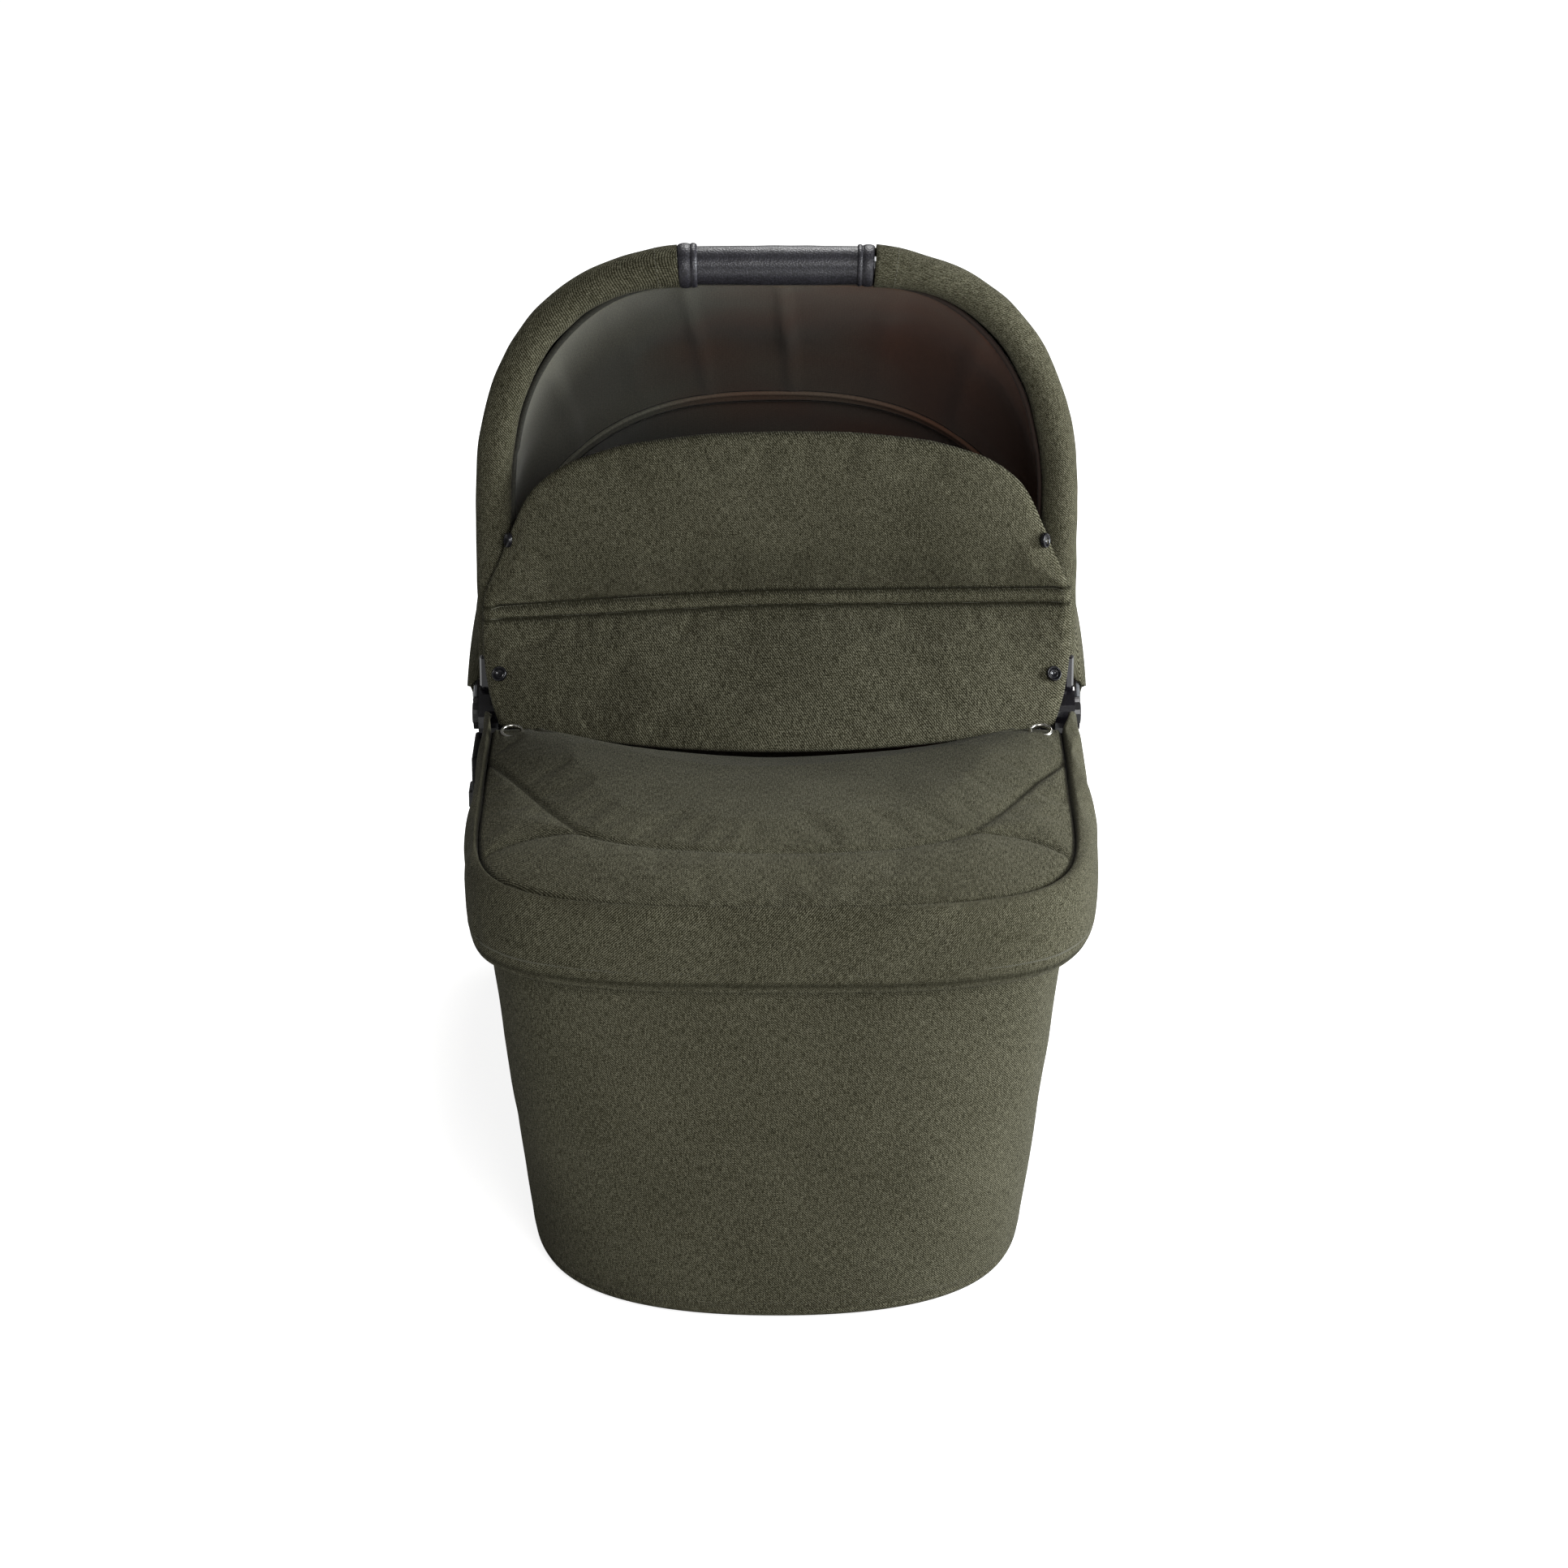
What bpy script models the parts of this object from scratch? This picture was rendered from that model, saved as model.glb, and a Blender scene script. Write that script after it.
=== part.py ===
"""Carrycot: padded tub on a folding rim, hood on a carrying bow, apron with a raised wind flap.

Frame: metres, +Z up, +X to the right of someone who looks from the foot end, +Y towards the
head end. The origin lies on the ground under the middle of the cot.
"""

import math

import bmesh
import bpy
import numpy as np
from mathutils import Matrix, Vector

# Clearances that every piece shares
GAP = 0.0003
RUNNING_GAP = 0.0005
OVERRUN = 0.01

# Tub plan: side half width, end half length, and how square the ends and the sides are
RIM_HALF_WIDTH = 0.2025
RIM_HALF_LENGTH = 0.432
TUB_TAPER_X = 0.0285
TUB_TAPER_Y = 0.039
FLOOR_HALF_WIDTH = RIM_HALF_WIDTH - TUB_TAPER_X
FLOOR_HALF_LENGTH = RIM_HALF_LENGTH - TUB_TAPER_Y
FLOOR_END_POWER = 2.2
FLOOR_SIDE_POWER = 6.3
RIM_END_POWER = 3.0
RIM_SIDE_POWER = 12.0
RING_POINTS = 48

# Heights
RIM_HEIGHT = 0.300
FOOT_HEIGHT = 0.004
TUB_BOTTOM = 0.003
TUB_BOTTOM_ROUND = 0.008
TUB_TURN_IN = 0.005
TUB_TOP_GAP = 0.001
TUB_NOTCH_DEPTH = 0.030

# Fabric thicknesses
TUB_SKIN = 0.0025
LINING_SKIN = 0.0015
HOOD_SKIN = 0.002
APRON_SKIN = 0.006

# Base pan and what lies in it
PAN_WALL = 0.003
PAN_FLOOR = 0.0035
PAN_HEIGHT = 0.065
PAN_CHAMFER = 0.006
FOOT_RADIUS = 0.012
FOOT_INSET_X = 0.059
FOOT_INSET_Y = 0.093
BOARD_THICKNESS = 0.003
BOARD_INSET = 0.012
MATTRESS_THICKNESS = 0.036
MATTRESS_CROWN = 0.007
MATTRESS_INSET = 0.008
MATTRESS_EDGE = 0.012

# Rim tube and the hubs at half length
RIM_TUBE_RADIUS = 0.008
RIM_TUBE_INSET = 0.0210
HUB_INSET_X = 0.033
HUB_INNER_X = RIM_HALF_WIDTH - HUB_INSET_X
HUB_WALL = 0.0020
BOSS_RADIUS = 0.0175
HUB_HALF_LENGTH = 0.031
HUB_BELOW = 0.038
HUB_ABOVE = 0.018
HUB_ROUND = 0.004
TAB_THICKNESS = 0.005
TAB_HALF_LENGTH = 0.022
TAB_BELOW = 0.062
TAB_OFFSET = 0.0030

# Bow pivot
PIN_RADIUS = 0.005
PIN_REACH = 0.0065
DISC_RADIUS = 0.022
DISC_THICKNESS = 0.0142
BUTTON_RADIUS = 0.008
BUTTON_LENGTH = 0.0080
BUTTON_RECESS = 0.0075
BUTTON_STAND_BACK = 0.0030
BUTTON_ROUND = 0.0009

# Bow: centreline, tube, grip and sleeves
BOW_OUT_X = 0.0020
BOW_HALF_WIDTH = RIM_HALF_WIDTH + BOW_OUT_X
BOW_RISE = 0.3385
BOW_LEG = 0.150
BOW_FLAT_HALF = 0.047
BOW_POWER = 2.5
BOW_TUBE_RADIUS = 0.007
BOW_TUBE_CLEARANCE = 0.0010
SLEEVE_RADIUS = 0.013
GRIP_RADIUS = 0.0138
GRIP_HALF_LENGTH = 0.069
GRIP_END_GAP = 0.0010
COLLAR_WIDTH = 0.012
COLLAR_WALL = 0.0012
ARM_TOP = 0.050
ARM_WIDTH = 0.0240
ARM_DEPTH = 0.021
ARM_START = 0.0189
ARM_ROUND = 0.005
ARM_SOCKET = 0.020

# Rear rib of the hood
RIB_ANGLE = math.radians(35)
RIB_OUT_X = 0.0177
RIB_HALF_WIDTH = RIM_HALF_WIDTH + RIB_OUT_X
RIB_REACH = 0.3045
RIB_POWER = 2.5
RIB_RADIUS = 0.0025
EYE_RADIUS = 0.012
EYE_THICKNESS = 0.004
EYE_HOLE_GAP = 0.0006

# Hood fabric: half width and reach of its arch at the bow, at the rib and at the rim
HOOD_FRONT_SETBACK = 0.0165
HOOD_FRONT_OFFSET = 0.0090
HOOD_FULLNESS = 0.0080
HOOD_RIB_CLEAR = 0.0065
HOOD_OUT_X = 0.0225
HOOD_OUT_Y = 0.0155
HOOD_RIM_HALF_WIDTH = RIM_HALF_WIDTH + HOOD_OUT_X
HOOD_RIM_REACH = RIM_HALF_LENGTH + HOOD_OUT_Y
HOOD_HEM_DROP = 0.032
SHELL_STARTS = (0.024, 0.024, 0.045)
LINING_STARTS = (0.056, 0.040, 0.048)
LINING_FRONT_INSET = 0.0148
LINING_FRONT_SETBACK = 0.003
LINING_RIB_INSET = 0.0034
LINING_RIM_INSET = 0.0100

# Tub lining
LINING_FLOOR_IN_X = 0.015
LINING_FLOOR_IN_Y = 0.032
LINING_WAIST_IN_X = 0.0385
LINING_WAIST_IN_Y = 0.047
LINING_WAIST_BELOW_RIM = 0.052
LINING_WAIST_HEIGHT = RIM_HEIGHT - LINING_WAIST_BELOW_RIM
LINING_TOP_IN_X = 0.034
LINING_TOP_IN_Y = 0.034
LINING_FLOOR_HALF_WIDTH = FLOOR_HALF_WIDTH - LINING_FLOOR_IN_X
LINING_FLOOR_HALF_LENGTH = FLOOR_HALF_LENGTH - LINING_FLOOR_IN_Y
LINING_WAIST_HALF_WIDTH = RIM_HALF_WIDTH - LINING_WAIST_IN_X
LINING_WAIST_HALF_LENGTH = RIM_HALF_LENGTH - LINING_WAIST_IN_Y
LINING_TOP_HALF_WIDTH = RIM_HALF_WIDTH - LINING_TOP_IN_X
LINING_TOP_HALF_LENGTH = RIM_HALF_LENGTH - LINING_TOP_IN_Y
LINING_TOP_ABOVE_RIM = 0.004

# Folding stays
STAY_RADIUS = 0.003
STAY_INSET_X = 0.0345
STAY_HALF_WIDTH = RIM_HALF_WIDTH - STAY_INSET_X
STAY_PIVOT_BELOW_RIM = 0.050
STAY_PIVOT_HEIGHT = RIM_HEIGHT - STAY_PIVOT_BELOW_RIM
STAY_PIVOT_OFFSET = 0.012
STAY_BAR_HEIGHT = 0.075
STAY_BAR_INSET = 0.022
STAY_BAR_OFFSET = FLOOR_HALF_LENGTH - STAY_BAR_INSET
STAY_BEND = 0.0085
STAY_HOLE_GAP = 0.0004
CLIP_HALF_WIDTH = 0.020
CLIP_WALL = 0.0028
CLIP_PLAY = 0.0032
CLIP_BACK_CLEARANCE = 0.0012

# Receivers for the adaptors of a chassis
RECEIVER_OUT_X = 0.020
RECEIVER_OUTER_X = RIM_HALF_WIDTH + RECEIVER_OUT_X
RECEIVER_HALF_LENGTH = 0.028
RECEIVER_TOP_BELOW_RIM = 0.0245
RECEIVER_LENGTH = 0.0695
RECEIVER_TOP = RIM_HEIGHT - RECEIVER_TOP_BELOW_RIM
RECEIVER_BOTTOM = RECEIVER_TOP - RECEIVER_LENGTH
SOCKET_WALL = 0.004
SOCKET_END_WALL = 0.008
RECEIVER_ROUND = 0.002
SOCKET_DEPTH = 0.050
RELEASE_HALF_LENGTH = 0.011
RELEASE_HALF_HEIGHT = 0.007
RELEASE_ABOVE_BOTTOM = 0.030
RELEASE_HEIGHT = RECEIVER_BOTTOM + RELEASE_ABOVE_BOTTOM
RELEASE_STAND_OUT = 0.0037
RELEASE_TAIL = 0.0033
RELEASE_ROUND = 0.0015

# Apron: plan of its piped edge, skirt and crown
APRON_OUT_X = 0.0010
APRON_OUT_Y = 0.0080
APRON_HALF_WIDTH = RIM_HALF_WIDTH + APRON_OUT_X
APRON_HALF_LENGTH = RIM_HALF_LENGTH + APRON_OUT_Y
APRON_ROLL = 0.0118
APRON_EDGE_OUT = 0.0065
APRON_EDGE_OUT_END = 0.00375
SKIRT_OUT_END = 0.0075
APRON_EDGE_ABOVE_RIM = 0.0225
APRON_EDGE_HEIGHT = RIM_HEIGHT + APRON_EDGE_ABOVE_RIM
APRON_CROWN = 0.0125
APRON_CROWN_Y = 0.270
APRON_CROWN_REACH = 0.170
APRON_REAR_SIDE = 0.034
APRON_REAR_EDGE = 0.084
APRON_REAR_BOW = 0.043
APRON_SPINE_INSET = 0.0435
APRON_SPINE_HALF = APRON_HALF_WIDTH - APRON_SPINE_INSET
APRON_CHANNEL = 0.0022
SKIRT_BELOW_RIM = 0.042
SKIRT_HEM = RIM_HEIGHT - SKIRT_BELOW_RIM
SKIRT_TUCK = 0.005
SEAM_INSET_X = 0.0235
SEAM_HALF_WIDTH = APRON_HALF_WIDTH - SEAM_INSET_X
SEAM_REAR = 0.0900
SEAM_INSET_Y = 0.081
SEAM_LENGTH = APRON_HALF_LENGTH - SEAM_INSET_Y
SEAM_POWER = 2.6
SEAM_SIDE_POWER = 5.2
SNAP_RADIUS = 0.0083
SNAP_HEIGHT = 0.0022
APRON_SNAP_LIFT = 0.0003
FLAP_SNAP_LIFT = 0.0009
APRON_SNAP_INSET = 0.0175
APRON_SNAP_X = APRON_HALF_WIDTH - APRON_SNAP_INSET
APRON_SNAP_Y = 0.104

# Wind flap
FLAP_HINGE_Y = -0.080
FLAP_HINGE_ABOVE_APRON = 0.0175
FLAP_HINGE_Z = APRON_EDGE_HEIGHT + FLAP_HINGE_ABOVE_APRON
FLAP_TUCK_BELOW_APRON = 0.0045
FLAP_BOTTOM = APRON_EDGE_HEIGHT - FLAP_TUCK_BELOW_APRON
FLAP_BOTTOM_Y = -0.0640
FLAP_BOTTOM_BOW = 0.038
FLAP_LOWER_PANEL = 0.079
FLAP_UPPER_PANEL = 0.118
FLAP_SEAM = FLAP_BOTTOM + FLAP_LOWER_PANEL
FLAP_TOP = FLAP_SEAM + FLAP_UPPER_PANEL
FLAP_OUT_X = 0.010
FLAP_TAPER_X = 0.018
FLAP_HALF_WIDTH = RIM_HALF_WIDTH + FLAP_OUT_X
FLAP_BOTTOM_HALF_WIDTH = FLAP_HALF_WIDTH - FLAP_TAPER_X
FLAP_SHOULDER = 0.001
FLAP_ARCH_POWER = 3.0
FLAP_SEAM_Y = -0.0210
FLAP_TOP_Y = -0.0120
FLAP_THICKNESS = 0.010
FLAP_PUFF = 0.006
FLAP_GROOVE = 0.0025
FLAP_SEAM_PITCH = 0.0105
FLAP_SNAP_RADIUS = 0.0053
FLAP_SNAP_HEIGHT = 0.0026
FLAP_LOWER_SNAP_UP = 0.032
FLAP_UPPER_SNAP_UP = 0.043
FLAP_LOWER_SNAP_IN = 0.014
FLAP_UPPER_SNAP_IN = 0.023
FLAP_LOWER_SNAP = (FLAP_HALF_WIDTH - FLAP_LOWER_SNAP_IN, FLAP_BOTTOM + FLAP_LOWER_SNAP_UP)
FLAP_UPPER_SNAP = (FLAP_HALF_WIDTH - FLAP_UPPER_SNAP_IN, FLAP_SEAM + FLAP_UPPER_SNAP_UP)

SIDES = (("left", -1.0), ("right", 1.0))
ENDS = (("foot", -1.0), ("head", 1.0))


def clear_scene():
    """Remove what the file holds and make the two collections."""
    for old in list(bpy.data.objects):
        bpy.data.objects.remove(old, do_unlink=True)
    found = {}
    for name in ("carrycot", "cutters"):
        group = bpy.data.collections.get(name) or bpy.data.collections.new(name)
        if name not in bpy.context.scene.collection.children:
            bpy.context.scene.collection.children.link(group)
        found[name] = group
    return found["carrycot"], found["cutters"]


PARTS, CUTTERS = clear_scene()


# Materials
def material(name, colour, roughness, metallic=0.0):
    made = bpy.data.materials.new(name)
    made.use_nodes = True
    shader = made.node_tree.nodes["Principled BSDF"]
    shader.inputs["Base Color"].default_value = (*colour, 1.0)
    shader.inputs["Roughness"].default_value = roughness
    shader.inputs["Metallic"].default_value = metallic
    return made


OLIVE = (0.067, 0.065, 0.044)
LINING = (0.026, 0.024, 0.019)
LEATHER = (0.022, 0.021, 0.026)
PLASTIC = (0.012, 0.011, 0.012)
STEEL = (0.45, 0.45, 0.46)
RUBBER = (0.018, 0.018, 0.018)
TICKING = (0.62, 0.61, 0.58)
BOARD = (0.10, 0.10, 0.10)
TUBE = (0.30, 0.30, 0.31)
SHADE = {
    "fabric": (OLIVE, 0.95, 0.0),
    "lining": (LINING, 0.85, 0.0),
    "leather": (LEATHER, 0.5, 0.0),
    "plastic": (PLASTIC, 0.35, 0.0),
    "steel": (STEEL, 0.3, 1.0),
    "tube": (TUBE, 0.4, 1.0),
    "rubber": (RUBBER, 0.8, 0.0),
    "ticking": (TICKING, 0.9, 0.0),
    "board": (BOARD, 0.8, 0.0),
    "snap": (STEEL, 0.35, 1.0),
}


# Mesh helpers
def finish(obj, finish_name):
    """Put an object in its collection and give it a material of its own."""
    colour, roughness, metallic = SHADE[finish_name]
    obj.data.materials.clear()
    obj.data.materials.append(material(obj.name + "_" + finish_name, colour, roughness, metallic))
    for old in list(obj.users_collection):
        old.objects.unlink(obj)
    PARTS.objects.link(obj)
    if obj.type == "MESH":
        obj.data.shade_smooth()
        obj.data.set_sharp_from_angle(angle=math.radians(35))
    return obj


def as_cutter(obj):
    for old in list(obj.users_collection):
        old.objects.unlink(obj)
    CUTTERS.objects.link(obj)
    obj.hide_render = True
    obj.display_type = "WIRE"
    return obj


def set_origin(obj, point):
    """Move an object's origin to a point without moving its mesh."""
    shift = Vector(point) - obj.location
    for vertex in obj.data.vertices:
        vertex.co -= shift
    obj.location = point


def box(name, low, high, round_edge=0.0):
    """A box between two corners, with rounded edges if asked."""
    low, high = Vector(low), Vector(high)
    bpy.ops.mesh.primitive_cube_add(size=1.0, location=(low + high) / 2)
    obj = bpy.context.object
    obj.name = obj.data.name = name
    for vertex in obj.data.vertices:
        vertex.co = Vector(c * (h - l) for c, l, h in zip(vertex.co, low, high))
    if round_edge:
        bevel = obj.modifiers.new("edges", "BEVEL")
        bevel.width = round_edge
        bevel.segments = 2
        bevel.limit_method = "ANGLE"
    return obj


def rod_x(name, radius, start, end, y, z, sides=24, round_edge=0.0):
    """A cylinder along X."""
    bpy.ops.mesh.primitive_cylinder_add(
        vertices=sides, radius=radius, depth=abs(end - start), end_fill_type="NGON",
        location=((start + end) / 2, y, z))
    obj = bpy.context.object
    obj.name = obj.data.name = name
    obj.data.transform(Matrix.Rotation(math.pi / 2, 4, "Y"))
    if round_edge:
        bevel = obj.modifiers.new("edges", "BEVEL")
        bevel.width = round_edge
        bevel.segments = 2
        bevel.limit_method = "ANGLE"
    return obj


def boolean(obj, other, operation):
    step = obj.modifiers.new(operation.lower() + "_" + other.name, "BOOLEAN")
    step.operation = operation
    step.object = as_cutter(other)
    step.solver = "EXACT"
    return obj


def tube(name, points, radius, cyclic=False, resolution=2):
    """A round wire or tube along points."""
    curve = bpy.data.curves.new(name, "CURVE")
    curve.dimensions = "3D"
    line = curve.splines.new("POLY")
    line.points.add(len(points) - 1)
    for slot, point in zip(line.points, points):
        slot.co = (*point, 1.0)
    line.use_cyclic_u = cyclic
    curve.bevel_depth = radius
    curve.bevel_resolution = resolution
    curve.use_fill_caps = not cyclic
    obj = bpy.data.objects.new(name, curve)
    bpy.context.scene.collection.objects.link(obj)
    return obj


def sheet(name, columns, rows, place, thickness, wrap=False, offset=-1.0, even_wall=True):
    """An open surface on a grid, place(u, v) with u and v from 0 to 1, made solid by Solidify."""
    mesh = bpy.data.meshes.new(name)
    grid = bmesh.new()
    bmesh.ops.create_grid(grid, x_segments=columns, y_segments=rows, size=0.5)
    for vertex in grid.verts:
        vertex.co = Vector(place(vertex.co.x + 0.5, vertex.co.y + 0.5))
    if wrap:
        bmesh.ops.remove_doubles(grid, verts=grid.verts, dist=0.00001)
    grid.to_mesh(mesh)
    grid.free()
    obj = bpy.data.objects.new(name, mesh)
    bpy.context.scene.collection.objects.link(obj)
    solid = obj.modifiers.new("thickness", "SOLIDIFY")
    solid.thickness = thickness
    solid.offset = offset
    solid.use_even_offset = even_wall
    return obj


def loft(name, rings):
    """A closed solid through rings of equally many points, with a flat cap on both ends."""
    mesh = bpy.data.meshes.new(name)
    shape = bmesh.new()
    rows = [[shape.verts.new(point) for point in ring] for ring in rings]
    count = len(rows[0])
    for lower, upper in zip(rows, rows[1:]):
        for k in range(count):
            after = (k + 1) % count
            shape.faces.new((lower[k], lower[after], upper[after], upper[k]))
    shape.faces.new(list(reversed(rows[0])))
    shape.faces.new(rows[-1])
    bmesh.ops.recalc_face_normals(shape, faces=shape.faces)
    shape.to_mesh(mesh)
    shape.free()
    obj = bpy.data.objects.new(name, mesh)
    bpy.context.scene.collection.objects.link(obj)
    return obj


# Outlines
def even(points, count, closed=False):
    """The points of a polyline spread evenly along its length."""
    line = np.array(points)
    steps = np.linalg.norm(np.diff(line, axis=0), axis=1)
    along = np.concatenate([[0.0], np.cumsum(steps)])
    targets = np.linspace(0.0, along[-1], count + 1 if closed else count)
    if closed:
        targets = targets[:-1]
    return np.stack([np.interp(targets, along, line[:, k]) for k in range(line.shape[1])], axis=1)


FINE = 720


def plan(half_width, half_length, end_power, side_power, count=RING_POINTS):
    """A closed plan outline, with nearly straight sides and bowed ends."""
    turn = np.linspace(0.0, 2 * math.pi, FINE + 1)
    across = half_width * np.sign(np.cos(turn)) * np.abs(np.cos(turn)) ** (2 / end_power)
    along = half_length * np.sign(np.sin(turn)) * np.abs(np.sin(turn)) ** (2 / side_power)
    return even(np.stack([across, along], axis=1), count, closed=True)


def arch(half_width, reach, end_power, side_power, start, count):
    """Half an outline: from (-half_width, start) over (0, reach) to (half_width, start)."""
    turn = np.linspace(0.0, math.pi, FINE + 1)
    across = -half_width * np.sign(np.cos(turn)) * np.abs(np.cos(turn)) ** (2 / end_power)
    up = reach * np.abs(np.sin(turn)) ** (2 / side_power)
    kept = up >= start
    line = np.stack([across[kept], up[kept]], axis=1)
    edge = half_width * (1 - (start / reach) ** side_power) ** (1 / end_power)
    line = np.concatenate([[[-edge, start]], line, [[edge, start]]])
    return even(line, count)


def smooth(share):
    share = min(max(share, 0.0), 1.0)
    return share * share * (3 - 2 * share)


def mix(first, second, share):
    return first + (second - first) * share


def tub_plan(height, inset=0.0, count=RING_POINTS):
    """The outside of the tub at a height, drawn in by an inset."""
    share = height / RIM_HEIGHT
    return plan(mix(FLOOR_HALF_WIDTH, RIM_HALF_WIDTH, share) - inset,
                mix(FLOOR_HALF_LENGTH, RIM_HALF_LENGTH, share) - inset,
                mix(FLOOR_END_POWER, RIM_END_POWER, share),
                mix(FLOOR_SIDE_POWER, RIM_SIDE_POWER, share), count)


def ring_at(outline, height):
    return [(x, y, height) for x, y in outline]


# Base pan, feet, board and mattress
pan_bottom = FOOT_HEIGHT
pan_inset = TUB_SKIN + RUNNING_GAP
pan_outer = (FLOOR_HALF_WIDTH - pan_inset, FLOOR_HALF_LENGTH - pan_inset)


def pan_ring(inset, height):
    return ring_at(plan(pan_outer[0] - inset, pan_outer[1] - inset,
                        FLOOR_END_POWER, FLOOR_SIDE_POWER), height)


def base_pan():
    inner_floor = pan_bottom + PAN_FLOOR
    made = loft("base_pan", [
        pan_ring(PAN_CHAMFER, pan_bottom),
        pan_ring(0.0, pan_bottom + PAN_CHAMFER),
        pan_ring(0.0, PAN_HEIGHT),
        pan_ring(PAN_WALL, PAN_HEIGHT),
        pan_ring(PAN_WALL, inner_floor + PAN_CHAMFER),
        pan_ring(PAN_WALL + PAN_CHAMFER, inner_floor),
    ])
    finish(made, "plastic")


def base_foot(name, x, y):
    bpy.ops.mesh.primitive_cylinder_add(
        vertices=24, radius=FOOT_RADIUS, depth=FOOT_HEIGHT - GAP,
        location=(x, y, (FOOT_HEIGHT - GAP) / 2))
    made = bpy.context.object
    made.name = made.data.name = name
    finish(made, "rubber")


def feet():
    for end, towards in ENDS:
        for side, across in SIDES:
            base_foot("base_foot_" + end + "_" + side,
                      across * (FLOOR_HALF_WIDTH - FOOT_INSET_X),
                      towards * (FLOOR_HALF_LENGTH - FOOT_INSET_Y))


def floor_ring(inset, height):
    """A ring inside the lining at floor level."""
    inside = LINING_SKIN + RUNNING_GAP + inset
    return ring_at(plan(LINING_FLOOR_HALF_WIDTH - inside, LINING_FLOOR_HALF_LENGTH - inside,
                        FLOOR_END_POWER, FLOOR_SIDE_POWER), height)


board_bottom = pan_bottom + PAN_FLOOR + GAP
mattress_bottom = board_bottom + BOARD_THICKNESS + GAP
mattress_top = mattress_bottom + MATTRESS_THICKNESS


def floor_board():
    made = loft("floor_board", [floor_ring(BOARD_INSET, board_bottom),
                                floor_ring(BOARD_INSET, board_bottom + BOARD_THICKNESS)])
    finish(made, "board")


def mattress():
    """Rings up the drawn-in side and over the crowned top."""
    profile_shares = (
        (0.45, 0.0), (0.10, 0.10), (0.0, 0.25), (0.10, 0.50), (0.0, 0.75), (0.10, 0.92),
        (0.60, 1.0),
    )
    rings = [floor_ring(MATTRESS_INSET + MATTRESS_EDGE * inset_share,
                        mix(mattress_bottom, mattress_top, rise_share))
             for inset_share, rise_share in profile_shares]
    crown_shares = ((3.0, 0.45), (6.0, 0.80), (9.0, 1.0))
    rings += [floor_ring(MATTRESS_INSET + MATTRESS_EDGE * inset_share,
                         mattress_top + MATTRESS_CROWN * rise_share)
              for inset_share, rise_share in crown_shares]
    finish(loft("mattress", rings), "ticking")


# Tub fabric and lining
def tub_fabric():
    """The outer wall, turned in under the base and cut out at the two hubs."""
    top = RIM_HEIGHT - RIM_TUBE_RADIUS - TUB_TOP_GAP
    turned = plan(FLOOR_HALF_WIDTH - TUB_TURN_IN, FLOOR_HALF_LENGTH - TUB_TURN_IN,
                  FLOOR_END_POWER, FLOOR_SIDE_POWER)
    heights = [TUB_BOTTOM + TUB_BOTTOM_ROUND, 0.25 * top, 0.5 * top, 0.75 * top, top]
    rings = [ring_at(turned, TUB_BOTTOM)] + [ring_at(tub_plan(z), z) for z in heights]

    def place(u, v):
        return rings[round(v * (len(rings) - 1))][round(u * RING_POINTS) % RING_POINTS]

    made = sheet("tub_fabric", RING_POINTS, len(rings) - 1, place, TUB_SKIN, wrap=True)
    for side, across in SIDES:
        notch = side_box("cut_tub_" + side, across, RIM_HALF_WIDTH - TUB_NOTCH_DEPTH,
                         RIM_HALF_WIDTH + OVERRUN,
                         (-HUB_HALF_LENGTH - RUNNING_GAP, RIM_HEIGHT - HUB_BELOW - RUNNING_GAP),
                         (HUB_HALF_LENGTH + RUNNING_GAP, RIM_HEIGHT + OVERRUN))
        boolean(made, notch, "DIFFERENCE")
    finish(made, "fabric")


def tub_lining():
    """The inner wall: straight up from the floor, then out to the rim."""
    bottom = board_bottom + GAP
    floor_powers = (FLOOR_END_POWER, FLOOR_SIDE_POWER)
    rim_powers = (RIM_END_POWER, RIM_SIDE_POWER)
    stages = (
        (LINING_FLOOR_HALF_WIDTH, LINING_FLOOR_HALF_LENGTH, floor_powers, bottom),
        (LINING_FLOOR_HALF_WIDTH, LINING_FLOOR_HALF_LENGTH, floor_powers, STAY_BAR_HEIGHT),
        (LINING_WAIST_HALF_WIDTH, LINING_WAIST_HALF_LENGTH, floor_powers, LINING_WAIST_HEIGHT),
        (LINING_TOP_HALF_WIDTH, LINING_TOP_HALF_LENGTH, rim_powers,
         RIM_HEIGHT + LINING_TOP_ABOVE_RIM),
    )
    rings = [ring_at(plan(width, length, *powers), z) for width, length, powers, z in stages]

    def place(u, v):
        return rings[round(v * (len(rings) - 1))][round(u * RING_POINTS) % RING_POINTS]

    made = sheet("tub_lining", RING_POINTS, len(rings) - 1, place, LINING_SKIN, wrap=True)
    finish(made, "lining")


# Rim tube and hubs
rim_tube_x = RIM_HALF_WIDTH - RIM_TUBE_INSET


def rim_tube():
    outline = plan(rim_tube_x, RIM_HALF_LENGTH - RIM_TUBE_INSET, RIM_END_POWER, RIM_SIDE_POWER, 60)
    finish(tube("rim_tube", ring_at(outline, RIM_HEIGHT), RIM_TUBE_RADIUS, cyclic=True), "tube")


hub_face_x = rim_tube_x + RIM_TUBE_RADIUS + RUNNING_GAP + HUB_WALL
hub_outer_x = RIM_HALF_WIDTH + GAP
disc_inner_x = hub_outer_x + GAP
disc_outer_x = disc_inner_x + DISC_THICKNESS
pin_outer_x = disc_inner_x + PIN_REACH
button_seat_x = disc_outer_x - BUTTON_RECESS


def span(across, near, far):
    """The low and high X of a stretch between two distances from the middle."""
    return sorted((across * near, across * far))


def side_box(name, across, near, far, low, high, round_edge=0.0):
    """A box between two distances from the middle, and between two (y, z) corners."""
    low_x, high_x = span(across, near, far)
    return box(name, (low_x, *low), (high_x, *high), round_edge)


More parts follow.
